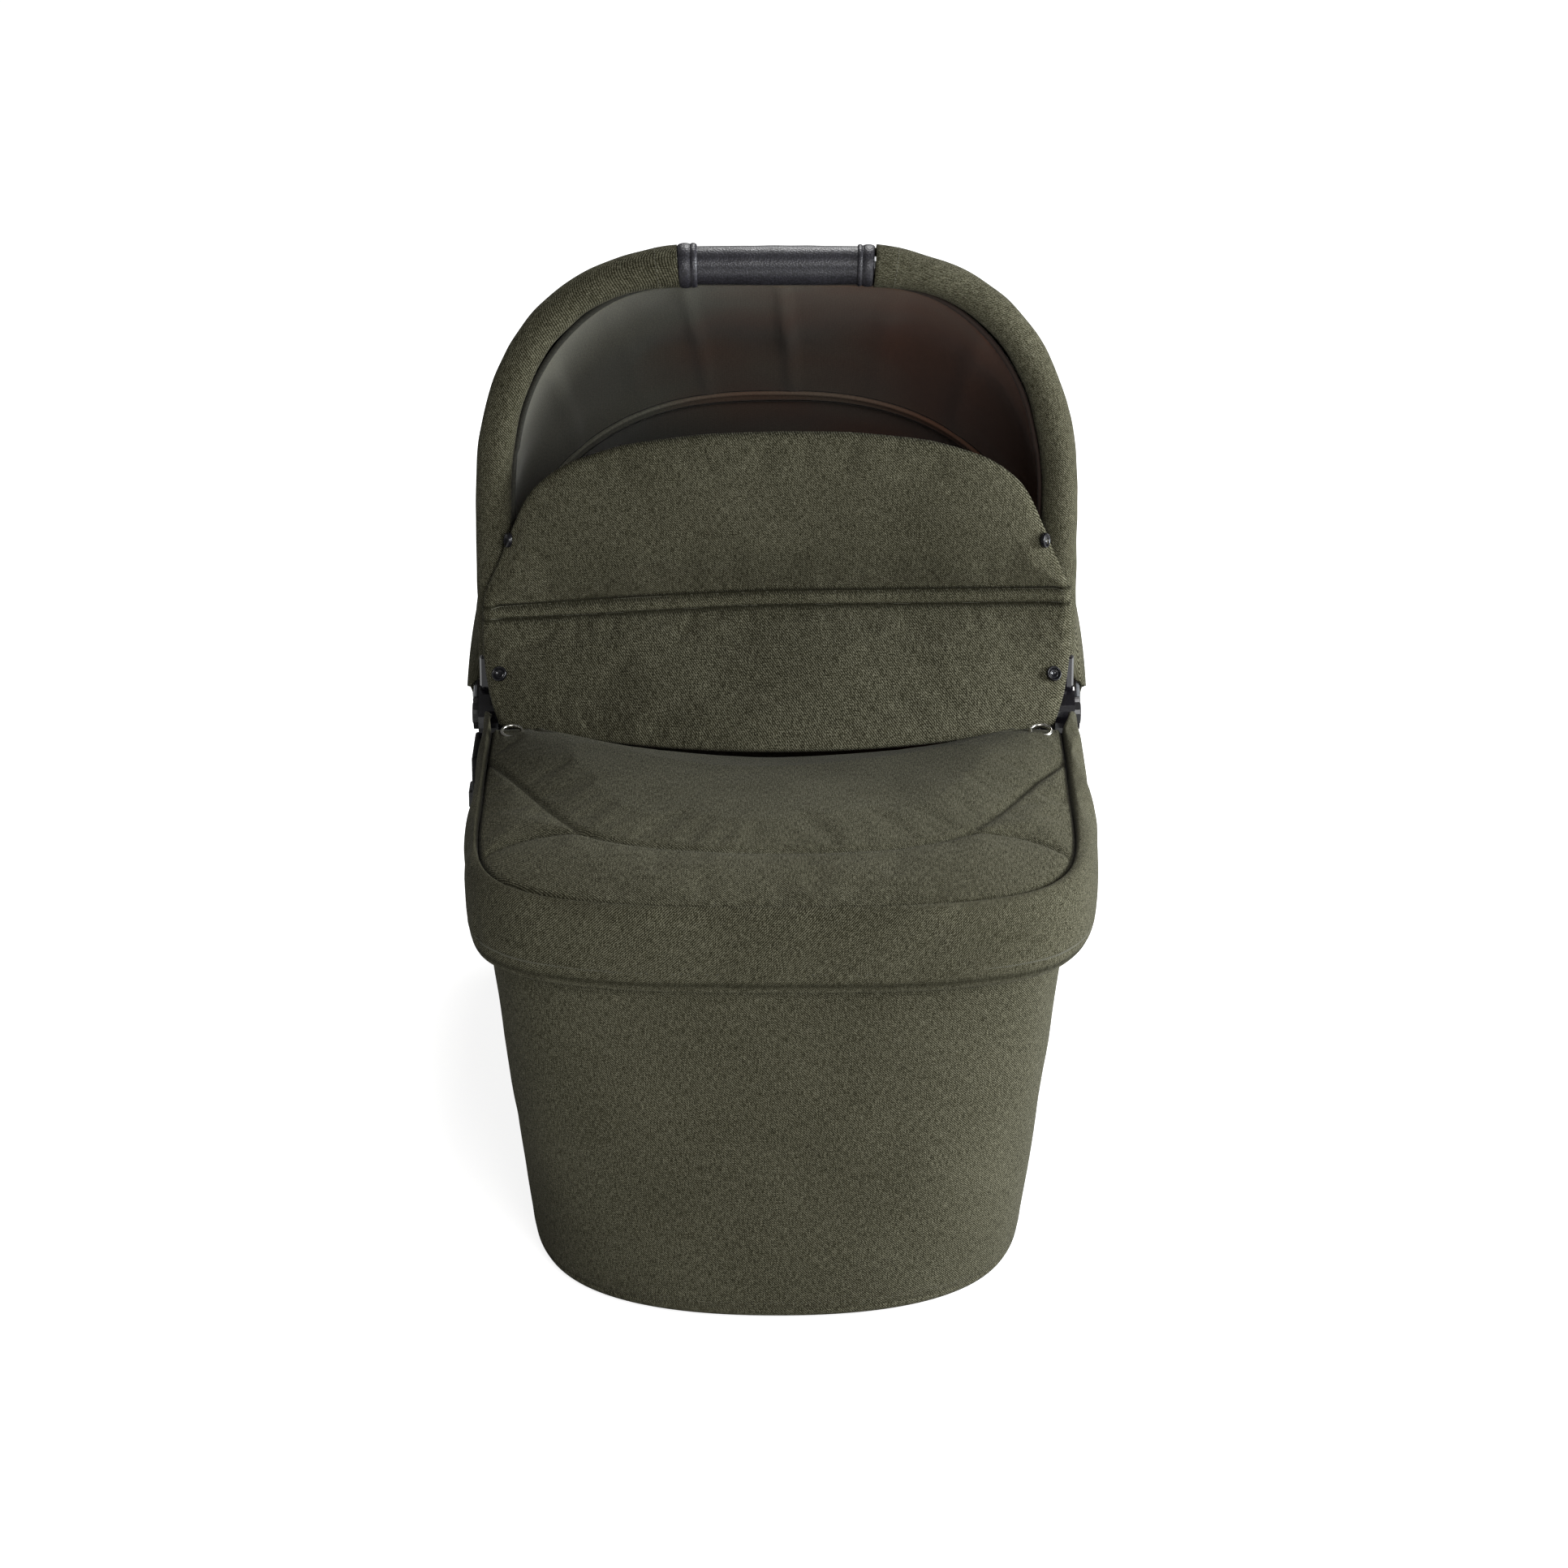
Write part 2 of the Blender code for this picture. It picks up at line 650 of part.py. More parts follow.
def hub_housing(side, across):
    """The moulding that grips the rim tube and carries the bow pin and the stays."""
    made = side_box("hub_housing_" + side, across, HUB_INNER_X, hub_face_x,
                    (-HUB_HALF_LENGTH, RIM_HEIGHT - HUB_BELOW),
                    (HUB_HALF_LENGTH, RIM_HEIGHT + HUB_ABOVE), HUB_ROUND)
    boolean(made, rod_x("join_boss_" + side, BOSS_RADIUS, across * rim_tube_x,
                        across * hub_outer_x, 0.0, RIM_HEIGHT, sides=32), "UNION")
    tab_near = HUB_INNER_X + TAB_OFFSET
    tab = side_box("join_tab_" + side, across, tab_near, tab_near + TAB_THICKNESS,
                   (-TAB_HALF_LENGTH, RIM_HEIGHT - TAB_BELOW),
                   (TAB_HALF_LENGTH, RIM_HEIGHT - HUB_BELOW + OVERRUN))
    boolean(made, tab, "UNION")
    bpy.ops.mesh.primitive_cylinder_add(
        vertices=24, radius=RIM_TUBE_RADIUS + RUNNING_GAP, depth=HUB_HALF_LENGTH * 2 + OVERRUN,
        location=(across * rim_tube_x, 0.0, RIM_HEIGHT), rotation=(math.pi / 2, 0.0, 0.0))
    bore = bpy.context.object
    bore.name = "cut_rim_" + side
    boolean(made, bore, "DIFFERENCE")
    pin_hole = rod_x("cut_pin_" + side, PIN_RADIUS + GAP,
                     across * (rim_tube_x + RIM_TUBE_RADIUS), across * (hub_outer_x + OVERRUN),
                     0.0, RIM_HEIGHT)
    boolean(made, pin_hole, "DIFFERENCE")
    for end, towards in ENDS:
        hole = rod_x("cut_stay_" + end + "_" + side, STAY_RADIUS + STAY_HOLE_GAP,
                     across * (tab_near - OVERRUN), across * (tab_near + TAB_THICKNESS + OVERRUN),
                     towards * STAY_PIVOT_OFFSET, STAY_PIVOT_HEIGHT, sides=16)
        boolean(made, hole, "DIFFERENCE")
    finish(made, "plastic")


def pivot_pin(side, across):
    made = rod_x("pivot_pin_" + side, PIN_RADIUS,
                 across * (rim_tube_x + RIM_TUBE_RADIUS + RUNNING_GAP), across * pin_outer_x,
                 0.0, RIM_HEIGHT)
    finish(made, "steel")


def hood_button(side, across):
    """The round button that frees the bow, in the middle of the arm's disc."""
    near = disc_outer_x - BUTTON_STAND_BACK + GAP
    made = rod_x("hood_button_" + side, BUTTON_RADIUS, across * near,
                 across * (near + BUTTON_LENGTH), 0.0, RIM_HEIGHT, round_edge=BUTTON_ROUND)
    finish(made, "plastic")


def mount_receiver(side, across):
    """The socket that drops on a chassis adaptor, with a slot for its release button."""
    near = hub_outer_x + GAP
    made = side_box("mount_receiver_" + side, across, near, RECEIVER_OUTER_X,
                    (-RECEIVER_HALF_LENGTH, RECEIVER_BOTTOM),
                    (RECEIVER_HALF_LENGTH, RECEIVER_TOP), RECEIVER_ROUND)
    shelf = side_box("join_receiver_" + side, across, hub_face_x + GAP, near + SOCKET_WALL / 2,
                     (-RECEIVER_HALF_LENGTH + HUB_ROUND, RIM_HEIGHT - HUB_BELOW + GAP),
                     (RECEIVER_HALF_LENGTH - HUB_ROUND, RECEIVER_TOP - RECEIVER_ROUND))
    boolean(made, shelf, "UNION")
    socket = side_box("cut_socket_" + side, across, near + SOCKET_WALL,
                      RECEIVER_OUTER_X - SOCKET_WALL,
                      (-RECEIVER_HALF_LENGTH + SOCKET_END_WALL, RECEIVER_BOTTOM - OVERRUN),
                      (RECEIVER_HALF_LENGTH - SOCKET_END_WALL, RECEIVER_BOTTOM + SOCKET_DEPTH))
    boolean(made, socket, "DIFFERENCE")
    slot = side_box("cut_release_" + side, across, RECEIVER_OUTER_X - SOCKET_WALL - GAP,
                    RECEIVER_OUTER_X + OVERRUN,
                    (-RELEASE_HALF_LENGTH - RUNNING_GAP,
                     RELEASE_HEIGHT - RELEASE_HALF_HEIGHT - RUNNING_GAP),
                    (RELEASE_HALF_LENGTH + RUNNING_GAP,
                     RELEASE_HEIGHT + RELEASE_HALF_HEIGHT + RUNNING_GAP))
    boolean(made, slot, "DIFFERENCE")
    finish(made, "plastic")
    button = side_box("release_button_" + side, across, RECEIVER_OUTER_X - RELEASE_TAIL,
                      RECEIVER_OUTER_X + RELEASE_STAND_OUT,
                      (-RELEASE_HALF_LENGTH, RELEASE_HEIGHT - RELEASE_HALF_HEIGHT),
                      (RELEASE_HALF_LENGTH, RELEASE_HEIGHT + RELEASE_HALF_HEIGHT), RELEASE_ROUND)
    finish(button, "plastic")


# Folding stays and their clips
stay_reach = math.hypot(STAY_BAR_OFFSET - STAY_PIVOT_OFFSET, STAY_PIVOT_HEIGHT - STAY_BAR_HEIGHT)
stay_dip = math.asin((STAY_PIVOT_HEIGHT - STAY_BAR_HEIGHT) / stay_reach)


def folding_stay(end, towards):
    """A steel wire bent to a U, whose ends turn out into the hub tabs."""
    line = arch(STAY_HALF_WIDTH, stay_reach, FLOOR_END_POWER, FLOOR_SIDE_POWER, 0.0, 36)
    bent = [(-STAY_HALF_WIDTH - STAY_BEND, 0.0), *line, (STAY_HALF_WIDTH + STAY_BEND, 0.0)]
    points = [(x, towards * s * math.cos(stay_dip), -s * math.sin(stay_dip)) for x, s in bent]
    made = tube(end + "_stay", points, STAY_RADIUS)
    made.location = (0.0, towards * STAY_PIVOT_OFFSET, STAY_PIVOT_HEIGHT)
    finish(made, "steel")


def stay_clip(end, towards):
    """A C-shaped clip on the pan's wall, open outwards, that takes the bar of a stay."""
    wall_near = STAY_BAR_OFFSET - STAY_RADIUS - CLIP_BACK_CLEARANCE
    low, high = sorted((towards * (wall_near - CLIP_WALL), towards * pan_outer[1]))
    play = STAY_RADIUS + CLIP_PLAY
    bottom = PAN_HEIGHT + GAP
    made = box("stay_clip_" + end, (-CLIP_HALF_WIDTH, low, bottom),
               (CLIP_HALF_WIDTH, high, STAY_BAR_HEIGHT + play + CLIP_WALL))
    cut_low, cut_high = sorted((towards * wall_near, towards * (pan_outer[1] + OVERRUN)))
    slot = box("cut_clip_" + end, (-CLIP_HALF_WIDTH - OVERRUN, cut_low, STAY_BAR_HEIGHT - play),
               (CLIP_HALF_WIDTH + OVERRUN, cut_high, STAY_BAR_HEIGHT + play))
    boolean(made, slot, "DIFFERENCE")
    finish(made, "plastic")


# Bow
def bow_line(lowest=0.0):
    """The bow's centreline as (x, height above the pivot), from one foot to the other."""
    turn = np.linspace(0.0, math.pi, FINE + 1)
    share = 2 / BOW_POWER
    across = -np.sign(np.cos(turn)) * (
        BOW_FLAT_HALF + (BOW_HALF_WIDTH - BOW_FLAT_HALF) * np.abs(np.cos(turn)) ** share)
    up = BOW_LEG + (BOW_RISE - BOW_LEG) * np.abs(np.sin(turn)) ** share
    line = np.stack([across, up], axis=1)
    foot = [[-BOW_HALF_WIDTH, lowest]], [[BOW_HALF_WIDTH, lowest]]
    return np.concatenate([foot[0], line, foot[1]])


def bow_stretch(x_from, x_to, lowest, count):
    """Evenly spread points of the bow between two x values, above a height, and their tangents."""
    line = even(bow_line(lowest), FINE * 4)
    slopes = np.gradient(line, axis=0)
    slopes /= np.linalg.norm(slopes, axis=1)[:, None]
    inside = np.flatnonzero((line[:, 0] >= x_from) & (line[:, 0] <= x_to))
    chosen = inside[np.linspace(0, len(inside) - 1, count).round().astype(int)]
    return line[chosen], slopes[chosen]


def skin_round(name, stretch, radius, thickness, sides, finish_name):
    """A hollow sleeve round a stretch of the bow; the radius is that of its outside."""
    line, tangents = stretch
    normals = np.stack([-tangents[:, 1], tangents[:, 0]], axis=1)
    last = len(line) - 1

    def place(u, v):
        k = round(v * last)
        turn = 2 * math.pi * round(u * sides) / sides
        out = radius * math.cos(turn)
        return (line[k, 0] + normals[k, 0] * out, radius * math.sin(turn),
                RIM_HEIGHT + line[k, 1] + normals[k, 1] * out)

    made = sheet(name, sides, last, place, thickness, wrap=True, offset=1.0)
    set_origin(made, (0.0, 0.0, RIM_HEIGHT))
    finish(made, finish_name)


def bow_tube():
    points, _ = bow_stretch(-BOW_HALF_WIDTH - OVERRUN, BOW_HALF_WIDTH + OVERRUN,
                            ARM_TOP - ARM_SOCKET + RUNNING_GAP, 44)
    made = tube("bow_tube", [(x, 0.0, up) for x, up in points], BOW_TUBE_RADIUS)
    made.location = (0.0, 0.0, RIM_HEIGHT)
    finish(made, "tube")


bow_bore = BOW_TUBE_RADIUS + BOW_TUBE_CLEARANCE


def grip_and_sleeves():
    grip = bow_stretch(-GRIP_HALF_LENGTH, GRIP_HALF_LENGTH, ARM_TOP, 9)
    skin_round("handle_grip", grip, GRIP_RADIUS, GRIP_RADIUS - bow_bore, 16, "leather")
    sleeve_end = GRIP_HALF_LENGTH + GRIP_END_GAP
    far = BOW_HALF_WIDTH + OVERRUN
    foot = ARM_TOP + GAP
    wall = SLEEVE_RADIUS - bow_bore
    skin_round("bow_sleeve_left", bow_stretch(-far, -sleeve_end, foot, 16), SLEEVE_RADIUS, wall,
               12, "fabric")
    skin_round("bow_sleeve_right", bow_stretch(sleeve_end, far, foot, 16), SLEEVE_RADIUS, wall,
               12, "fabric")
    collar_radius = GRIP_RADIUS + GAP + COLLAR_WALL
    inner = GRIP_HALF_LENGTH - COLLAR_WIDTH
    skin_round("grip_collar_left", bow_stretch(-GRIP_HALF_LENGTH, -inner, ARM_TOP, 3),
               collar_radius, COLLAR_WALL, 16, "leather")
    skin_round("grip_collar_right", bow_stretch(inner, GRIP_HALF_LENGTH, ARM_TOP, 3),
               collar_radius, COLLAR_WALL, 16, "leather")


def bow_arm(side, across):
    """The glossy arm below a sleeve: a disc on the pivot and a block that takes the bow tube."""
    made = rod_x("bow_arm_" + side, DISC_RADIUS, across * disc_inner_x, across * disc_outer_x,
                 0.0, RIM_HEIGHT, sides=32)
    block = side_box("join_arm_" + side, across, BOW_HALF_WIDTH - ARM_WIDTH / 2,
                     BOW_HALF_WIDTH + ARM_WIDTH / 2,
                     (-ARM_DEPTH / 2, RIM_HEIGHT + ARM_START),
                     (ARM_DEPTH / 2, RIM_HEIGHT + ARM_TOP), ARM_ROUND)
    boolean(made, block, "UNION")
    bpy.ops.mesh.primitive_cylinder_add(
        vertices=20, radius=bow_bore, depth=ARM_SOCKET + OVERRUN,
        location=(across * BOW_HALF_WIDTH, 0.0,
                  RIM_HEIGHT + ARM_TOP - ARM_SOCKET / 2 + OVERRUN / 2))
    socket = bpy.context.object
    socket.name = "cut_arm_" + side
    boolean(made, socket, "DIFFERENCE")
    boolean(made, rod_x("cut_arm_pin_" + side, PIN_RADIUS + GAP,
                        across * (disc_inner_x - OVERRUN), across * (disc_outer_x + OVERRUN),
                        0.0, RIM_HEIGHT), "DIFFERENCE")
    boolean(made, rod_x("cut_arm_button_" + side, BUTTON_RADIUS + RUNNING_GAP,
                        across * button_seat_x, across * (disc_outer_x + OVERRUN),
                        0.0, RIM_HEIGHT), "DIFFERENCE")
    finish(made, "plastic")
    set_origin(made, (across * disc_inner_x, 0.0, RIM_HEIGHT))


# Rear rib
eye_inner_x = disc_outer_x + GAP


def hood_rib():
    """A wire rib behind the bow, with an eye on the pivot at each end."""
    start = EYE_RADIUS + GAP
    line = arch(RIB_HALF_WIDTH, RIB_REACH, RIB_POWER, RIB_POWER, start, 34)
    made = tube("hood_rib", [(x, s * math.cos(RIB_ANGLE), s * math.sin(RIB_ANGLE))
                             for x, s in line], RIB_RADIUS)
    made.location = (0.0, 0.0, RIM_HEIGHT)
    finish(made, "steel")
    for side, across in SIDES:
        eye = rod_x("rib_eye_" + side, EYE_RADIUS, across * eye_inner_x,
                    across * (eye_inner_x + EYE_THICKNESS), 0.0, RIM_HEIGHT)
        boolean(eye, rod_x("cut_eye_" + side, BUTTON_RADIUS + EYE_HOLE_GAP,
                           across * (eye_inner_x - OVERRUN),
                           across * (eye_inner_x + EYE_THICKNESS + OVERRUN), 0.0, RIM_HEIGHT),
                "DIFFERENCE")
        finish(eye, "plastic")


# Hood fabric and lining
HOOD_COLUMNS = 32


def fan_sheet(name, arches, thickness, finish_name):
    """A sheet through rows that all turn about the pivot, each with its angle, drop and setback."""
    rows = []
    for angle, drop, setback, line in arches:
        rows.append([(x, s * math.cos(angle) + setback,
                      RIM_HEIGHT + s * math.sin(angle) - drop) for x, s in line])

    def place(u, v):
        return rows[round(v * (len(rows) - 1))][round(u * HOOD_COLUMNS)]

    made = sheet(name, HOOD_COLUMNS, len(rows) - 1, place, thickness)
    finish(made, finish_name)


def bow_offset(distance, start):
    """The bow's centreline moved out by a distance, from a height above the pivot."""
    line = even(bow_line(), FINE)
    slopes = np.gradient(line, axis=0)
    slopes /= np.linalg.norm(slopes, axis=1)[:, None]
    moved = line + distance * np.stack([-slopes[:, 1], slopes[:, 0]], axis=1)
    return even(moved[moved[:, 1] >= start], HOOD_COLUMNS + 1)


def taut_reach(first, second, angle):
    """Distance from the pivot to a straight line between two points given as (angle, reach)."""
    (angle_a, reach_a), (angle_b, reach_b) = first, second
    across = reach_a * reach_b * math.sin(angle_a - angle_b)
    return across / (reach_a * math.sin(angle_a - angle) + reach_b * math.sin(angle - angle_b))


def hood_rows(front_offset, rib, rim, front_setback, starts, hem_drop):
    """Rows from the bow over the rib to the rim; rib and rim are (half width, reach).

    Between the bow and the rib, and the rib and the rim, the cloth is taut with a slight fullness.
    """
    upright = math.pi / 2
    front_start, rib_start, rim_start = starts
    front = bow_offset(front_offset, front_start)
    at_rib = arch(*rib, RIB_POWER, RIB_POWER, rib_start, HOOD_COLUMNS + 1)
    front_reach = BOW_RISE + front_offset
    front_shares = (0.0, 0.35, 0.7, 1.0)
    rear_shares = (1 / 3, 2 / 3, 1.0)
    rows = []
    for share in front_shares:
        angle = mix(upright, RIB_ANGLE, share)
        reach = mix(front_reach, rib[1], share)
        taut = taut_reach((upright, front_reach), (RIB_ANGLE, rib[1]), angle)
        full = (taut + HOOD_FULLNESS * math.sin(math.pi * share)) / reach
        rows.append((angle, 0.0, mix(front_setback, 0.0, share),
                     mix(front, at_rib, share) * np.array([1.0, full])))
    for share in rear_shares:
        angle = mix(RIB_ANGLE, 0.0, share)
        width = mix(rib[0], rim[0], share)
        taut = taut_reach((RIB_ANGLE, rib[1]), (0.0, rim[1]), angle)
        reach = taut + HOOD_FULLNESS * math.sin(math.pi * share)
        rows.append((angle, 0.0, 0.0,
                     arch(width, reach, mix(RIB_POWER, RIM_END_POWER, share ** 2),
                          mix(RIB_POWER, RIM_SIDE_POWER, share ** 2),
                          mix(rib_start, rim_start, share), HOOD_COLUMNS + 1)))
    if hem_drop:
        rows.append((0.0, hem_drop, 0.0,
                     arch(*rim, RIM_END_POWER, RIM_SIDE_POWER, rim_start, HOOD_COLUMNS + 1)))
    return rows


def hood_fabric():
    rib = (RIB_HALF_WIDTH + HOOD_RIB_CLEAR, RIB_REACH + HOOD_RIB_CLEAR)
    rows = hood_rows(HOOD_FRONT_OFFSET, rib, (HOOD_RIM_HALF_WIDTH, HOOD_RIM_REACH),
                     HOOD_FRONT_SETBACK, SHELL_STARTS, HOOD_HEM_DROP)
    fan_sheet("hood_shell", rows, HOOD_SKIN, "fabric")
    inner_rib = (RIB_HALF_WIDTH - LINING_RIB_INSET, RIB_REACH - LINING_RIB_INSET)
    inner_rim = (HOOD_RIM_HALF_WIDTH - LINING_RIM_INSET, HOOD_RIM_REACH - LINING_RIM_INSET)
    rows = hood_rows(-LINING_FRONT_INSET, inner_rib, inner_rim, LINING_FRONT_SETBACK,
                     LINING_STARTS, 0.0)
    fan_sheet("hood_lining", rows, LINING_SKIN, "lining")


# Apron
def apron_height(x, y):
    """The top of the apron: its crown over the legs, level with the edge all round."""
    across = 1 - (abs(x) / APRON_HALF_WIDTH) ** 2
    along = 1 - ((abs(y) - APRON_CROWN_Y) / APRON_CROWN_REACH) ** 2
    return APRON_EDGE_HEIGHT + APRON_CROWN * max(across, 0.0) * max(along, 0.0)


APRON_COLUMNS = 34


def apron_outline(half_width, half_length, rear):
    return arch(half_width, half_length, RIM_END_POWER, RIM_SIDE_POWER, rear, APRON_COLUMNS + 1)


def apron():
    """Rows run from the rear edge over the sewn curve and the piping, then down the skirt."""
    spine = [(x, APRON_REAR_EDGE + APRON_REAR_BOW * (1 - (x / APRON_SPINE_HALF) ** 2))
             for x in np.linspace(-APRON_SPINE_HALF, APRON_SPINE_HALF, APRON_COLUMNS + 1)]
    seam = arch(SEAM_HALF_WIDTH, SEAM_LENGTH, SEAM_POWER, SEAM_SIDE_POWER, SEAM_REAR,
                APRON_COLUMNS + 1)
    piping = apron_outline(APRON_HALF_WIDTH, APRON_HALF_LENGTH, APRON_REAR_EDGE)
    edge = apron_outline(APRON_HALF_WIDTH + APRON_EDGE_OUT, APRON_HALF_LENGTH + APRON_EDGE_OUT_END,
                         APRON_REAR_SIDE + APRON_ROLL)
    skirt_half = (APRON_HALF_WIDTH + APRON_ROLL, APRON_HALF_LENGTH + SKIRT_OUT_END)
    skirt = apron_outline(*skirt_half, APRON_REAR_SIDE)
    hem = apron_outline(skirt_half[0] - SKIRT_TUCK, skirt_half[1] - SKIRT_TUCK, APRON_REAR_SIDE)
    shoulder = APRON_EDGE_HEIGHT - APRON_ROLL
    rows = []
    panel_shares = ((0.0, 0.0), (0.5, 0.0), (0.9, 0.0), (1.0, APRON_CHANNEL))
    border_shares = ((0.15, 0.0), (0.85, 0.0), (1.0, APRON_CHANNEL))
    for share, start, end, sink in ([(share, spine, seam, sink) for share, sink in panel_shares]
                                    + [(share, seam, piping, sink) for share, sink in border_shares]):
        rows.append([(mix(a[0], b[0], share), -mix(a[1], b[1], share),
                      apron_height(mix(a[0], b[0], share), mix(a[1], b[1], share)) - sink)
                     for a, b in zip(start, end)])
    for outline, height in ((edge, APRON_EDGE_HEIGHT), (skirt, shoulder),
                            (skirt, mix(shoulder, SKIRT_HEM, 0.5)), (hem, SKIRT_HEM)):
        rows.append([(x, -y, height) for x, y in outline])

    def place(u, v):
        return rows[round(v * (len(rows) - 1))][round(u * APRON_COLUMNS)]

    made = sheet("apron", APRON_COLUMNS, len(rows) - 1, place, APRON_SKIN, offset=1.0)
    finish(made, "fabric")


def snap(name, radius, height, lift, centre, normal, finish_name):
    """A round press stud on a surface, its foot a gap clear of the cloth."""
    bpy.ops.mesh.primitive_cylinder_add(vertices=16, radius=radius, depth=height)
    made = bpy.context.object
    made.name = made.data.name = name
    normal = Vector(normal).normalized()
    made.rotation_euler = normal.to_track_quat("Z", "Y").to_euler()
    made.location = Vector(centre) + normal * (height / 2 + lift)
    bevel = made.modifiers.new("edges", "BEVEL")
    bevel.width = height / 3
    bevel.segments = 1
    finish(made, finish_name)
    return made


def apron_snaps():
    for side, across in SIDES:
        x = across * APRON_SNAP_X
        y = -APRON_SNAP_Y
        slope = (apron_height(x + GAP, y) - apron_height(x - GAP, y)) / (GAP * 2)
        snap("apron_snap_" + side, SNAP_RADIUS, SNAP_HEIGHT, APRON_SNAP_LIFT,
             (x, y, apron_height(x, y)), (-slope, 0.0, 1.0), "snap")


# Wind flap
def flap_arch(x):
    """Height of the flap's top edge at x."""
    side = min(abs(x) / FLAP_HALF_WIDTH, 1.0)
    rise = FLAP_TOP - FLAP_SEAM - FLAP_SHOULDER
    return FLAP_SEAM + FLAP_SHOULDER + rise * (1 - side ** FLAP_ARCH_POWER) ** 0.5


def flap_half_width(height):
    """Half width below the seam, narrower towards the hinge."""
    share = (height - FLAP_BOTTOM) / (FLAP_SEAM - FLAP_BOTTOM)
    return mix(FLAP_BOTTOM_HALF_WIDTH, FLAP_HALF_WIDTH, smooth(share) ** 0.6)


def flap_depth(height):
    """Y of the flap's middle surface at a height."""
    if height < FLAP_SEAM:
        share = (height - FLAP_BOTTOM) / (FLAP_SEAM - FLAP_BOTTOM)
        return mix(FLAP_BOTTOM_Y, FLAP_SEAM_Y, share ** 0.9)
    share = (height - FLAP_SEAM) / (FLAP_TOP - FLAP_SEAM)
    return mix(FLAP_SEAM_Y, FLAP_TOP_Y, share)


def flap_front(spread, part, share, height):
    """Y of the front face; the padding swells between the seams and the edges."""
    puff = 0.0 if part == "between" else max(math.sin(math.pi * share), 0.0) ** 0.5
    crown = FLAP_PUFF * puff * (1 - spread ** 4)
    bow = FLAP_BOTTOM_BOW * (1 - share) * (1 - spread ** 2) if part == "below" else 0.0
    return flap_depth(height) - FLAP_THICKNESS / 2 - crown - bow


FLAP_COLUMNS = 26
seam_low = FLAP_SEAM - FLAP_SEAM_PITCH / 2
seam_high = FLAP_SEAM + FLAP_SEAM_PITCH / 2


def flap_point(across_share, row):
    """A point of the front face; row is (part, share, sink), with part below, between or above."""
    part, share, sink = row
    spread = math.sin(across_share * math.pi / 2)
    if part == "below":
        height = mix(FLAP_BOTTOM, seam_low, share)
    elif part == "between":
        height = mix(seam_low, seam_high, share)
    else:
        height = mix(seam_high, flap_arch(spread * FLAP_HALF_WIDTH), share)
    x = spread * (FLAP_HALF_WIDTH if height > FLAP_SEAM else flap_half_width(height))
    return x, flap_front(spread, part, share, height) + sink, height


def flap_face(x, height):
    """Y of the front face at a place given by x and height."""
    if height < seam_low:
        share = (height - FLAP_BOTTOM) / (seam_low - FLAP_BOTTOM)
        return flap_front(x / flap_half_width(height), "below", share, height)
    share = (height - seam_high) / (flap_arch(x) - seam_high)
    return flap_front(x / FLAP_HALF_WIDTH, "above", share, height)


def wind_flap():
    """A padded panel with two sewn lines across it, at which it folds."""
    lower_shares = (0.0, 0.12, 0.35, 0.65, 0.90)
    upper_shares = (0.10, 0.30, 0.55, 0.80, 0.94, 1.0)
    rows = [("below", share, 0.0) for share in lower_shares]
    rows += [("between", 0.0, FLAP_GROOVE), ("between", 0.5, 0.0), ("between", 1.0, FLAP_GROOVE)]
    rows += [("above", share, 0.0) for share in upper_shares]

    def place(u, v):
        return flap_point(mix(-1.0, 1.0, u), rows[round(v * (len(rows) - 1))])

    made = sheet("wind_flap", FLAP_COLUMNS, len(rows) - 1, place, FLAP_THICKNESS, even_wall=False)
    finish(made, "fabric")
    set_origin(made, (0.0, FLAP_HINGE_Y, FLAP_HINGE_Z))
    reach = FLAP_SNAP_RADIUS
    for level, (x, height) in (("lower", FLAP_LOWER_SNAP), ("upper", FLAP_UPPER_SNAP)):
        sideways = flap_face(x + reach, height) - flap_face(x - reach, height)
        lean = flap_face(x, height + reach) - flap_face(x, height - reach)
        for side, across in SIDES:
            snap("flap_snap_" + level + "_" + side, FLAP_SNAP_RADIUS, FLAP_SNAP_HEIGHT,
                 FLAP_SNAP_LIFT, (across * x, flap_face(x, height), height),
                 (across * sideways, -reach * 2, lean), "plastic")


# Assembly
base_pan()
feet()
floor_board()
mattress()
tub_fabric()
tub_lining()
rim_tube()
for side_name, side_sign in SIDES:
    hub_housing(side_name, side_sign)
    pivot_pin(side_name, side_sign)
    hood_button(side_name, side_sign)
    mount_receiver(side_name, side_sign)
    bow_arm(side_name, side_sign)
for end_name, end_sign in ENDS:
    folding_stay(end_name, end_sign)
    stay_clip(end_name, end_sign)
bow_tube()
grip_and_sleeves()
hood_rib()
hood_fabric()
apron()
apron_snaps()
wind_flap()
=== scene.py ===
import math

import bmesh
import bpy
import numpy as np
from mathutils import Matrix, Vector, noise


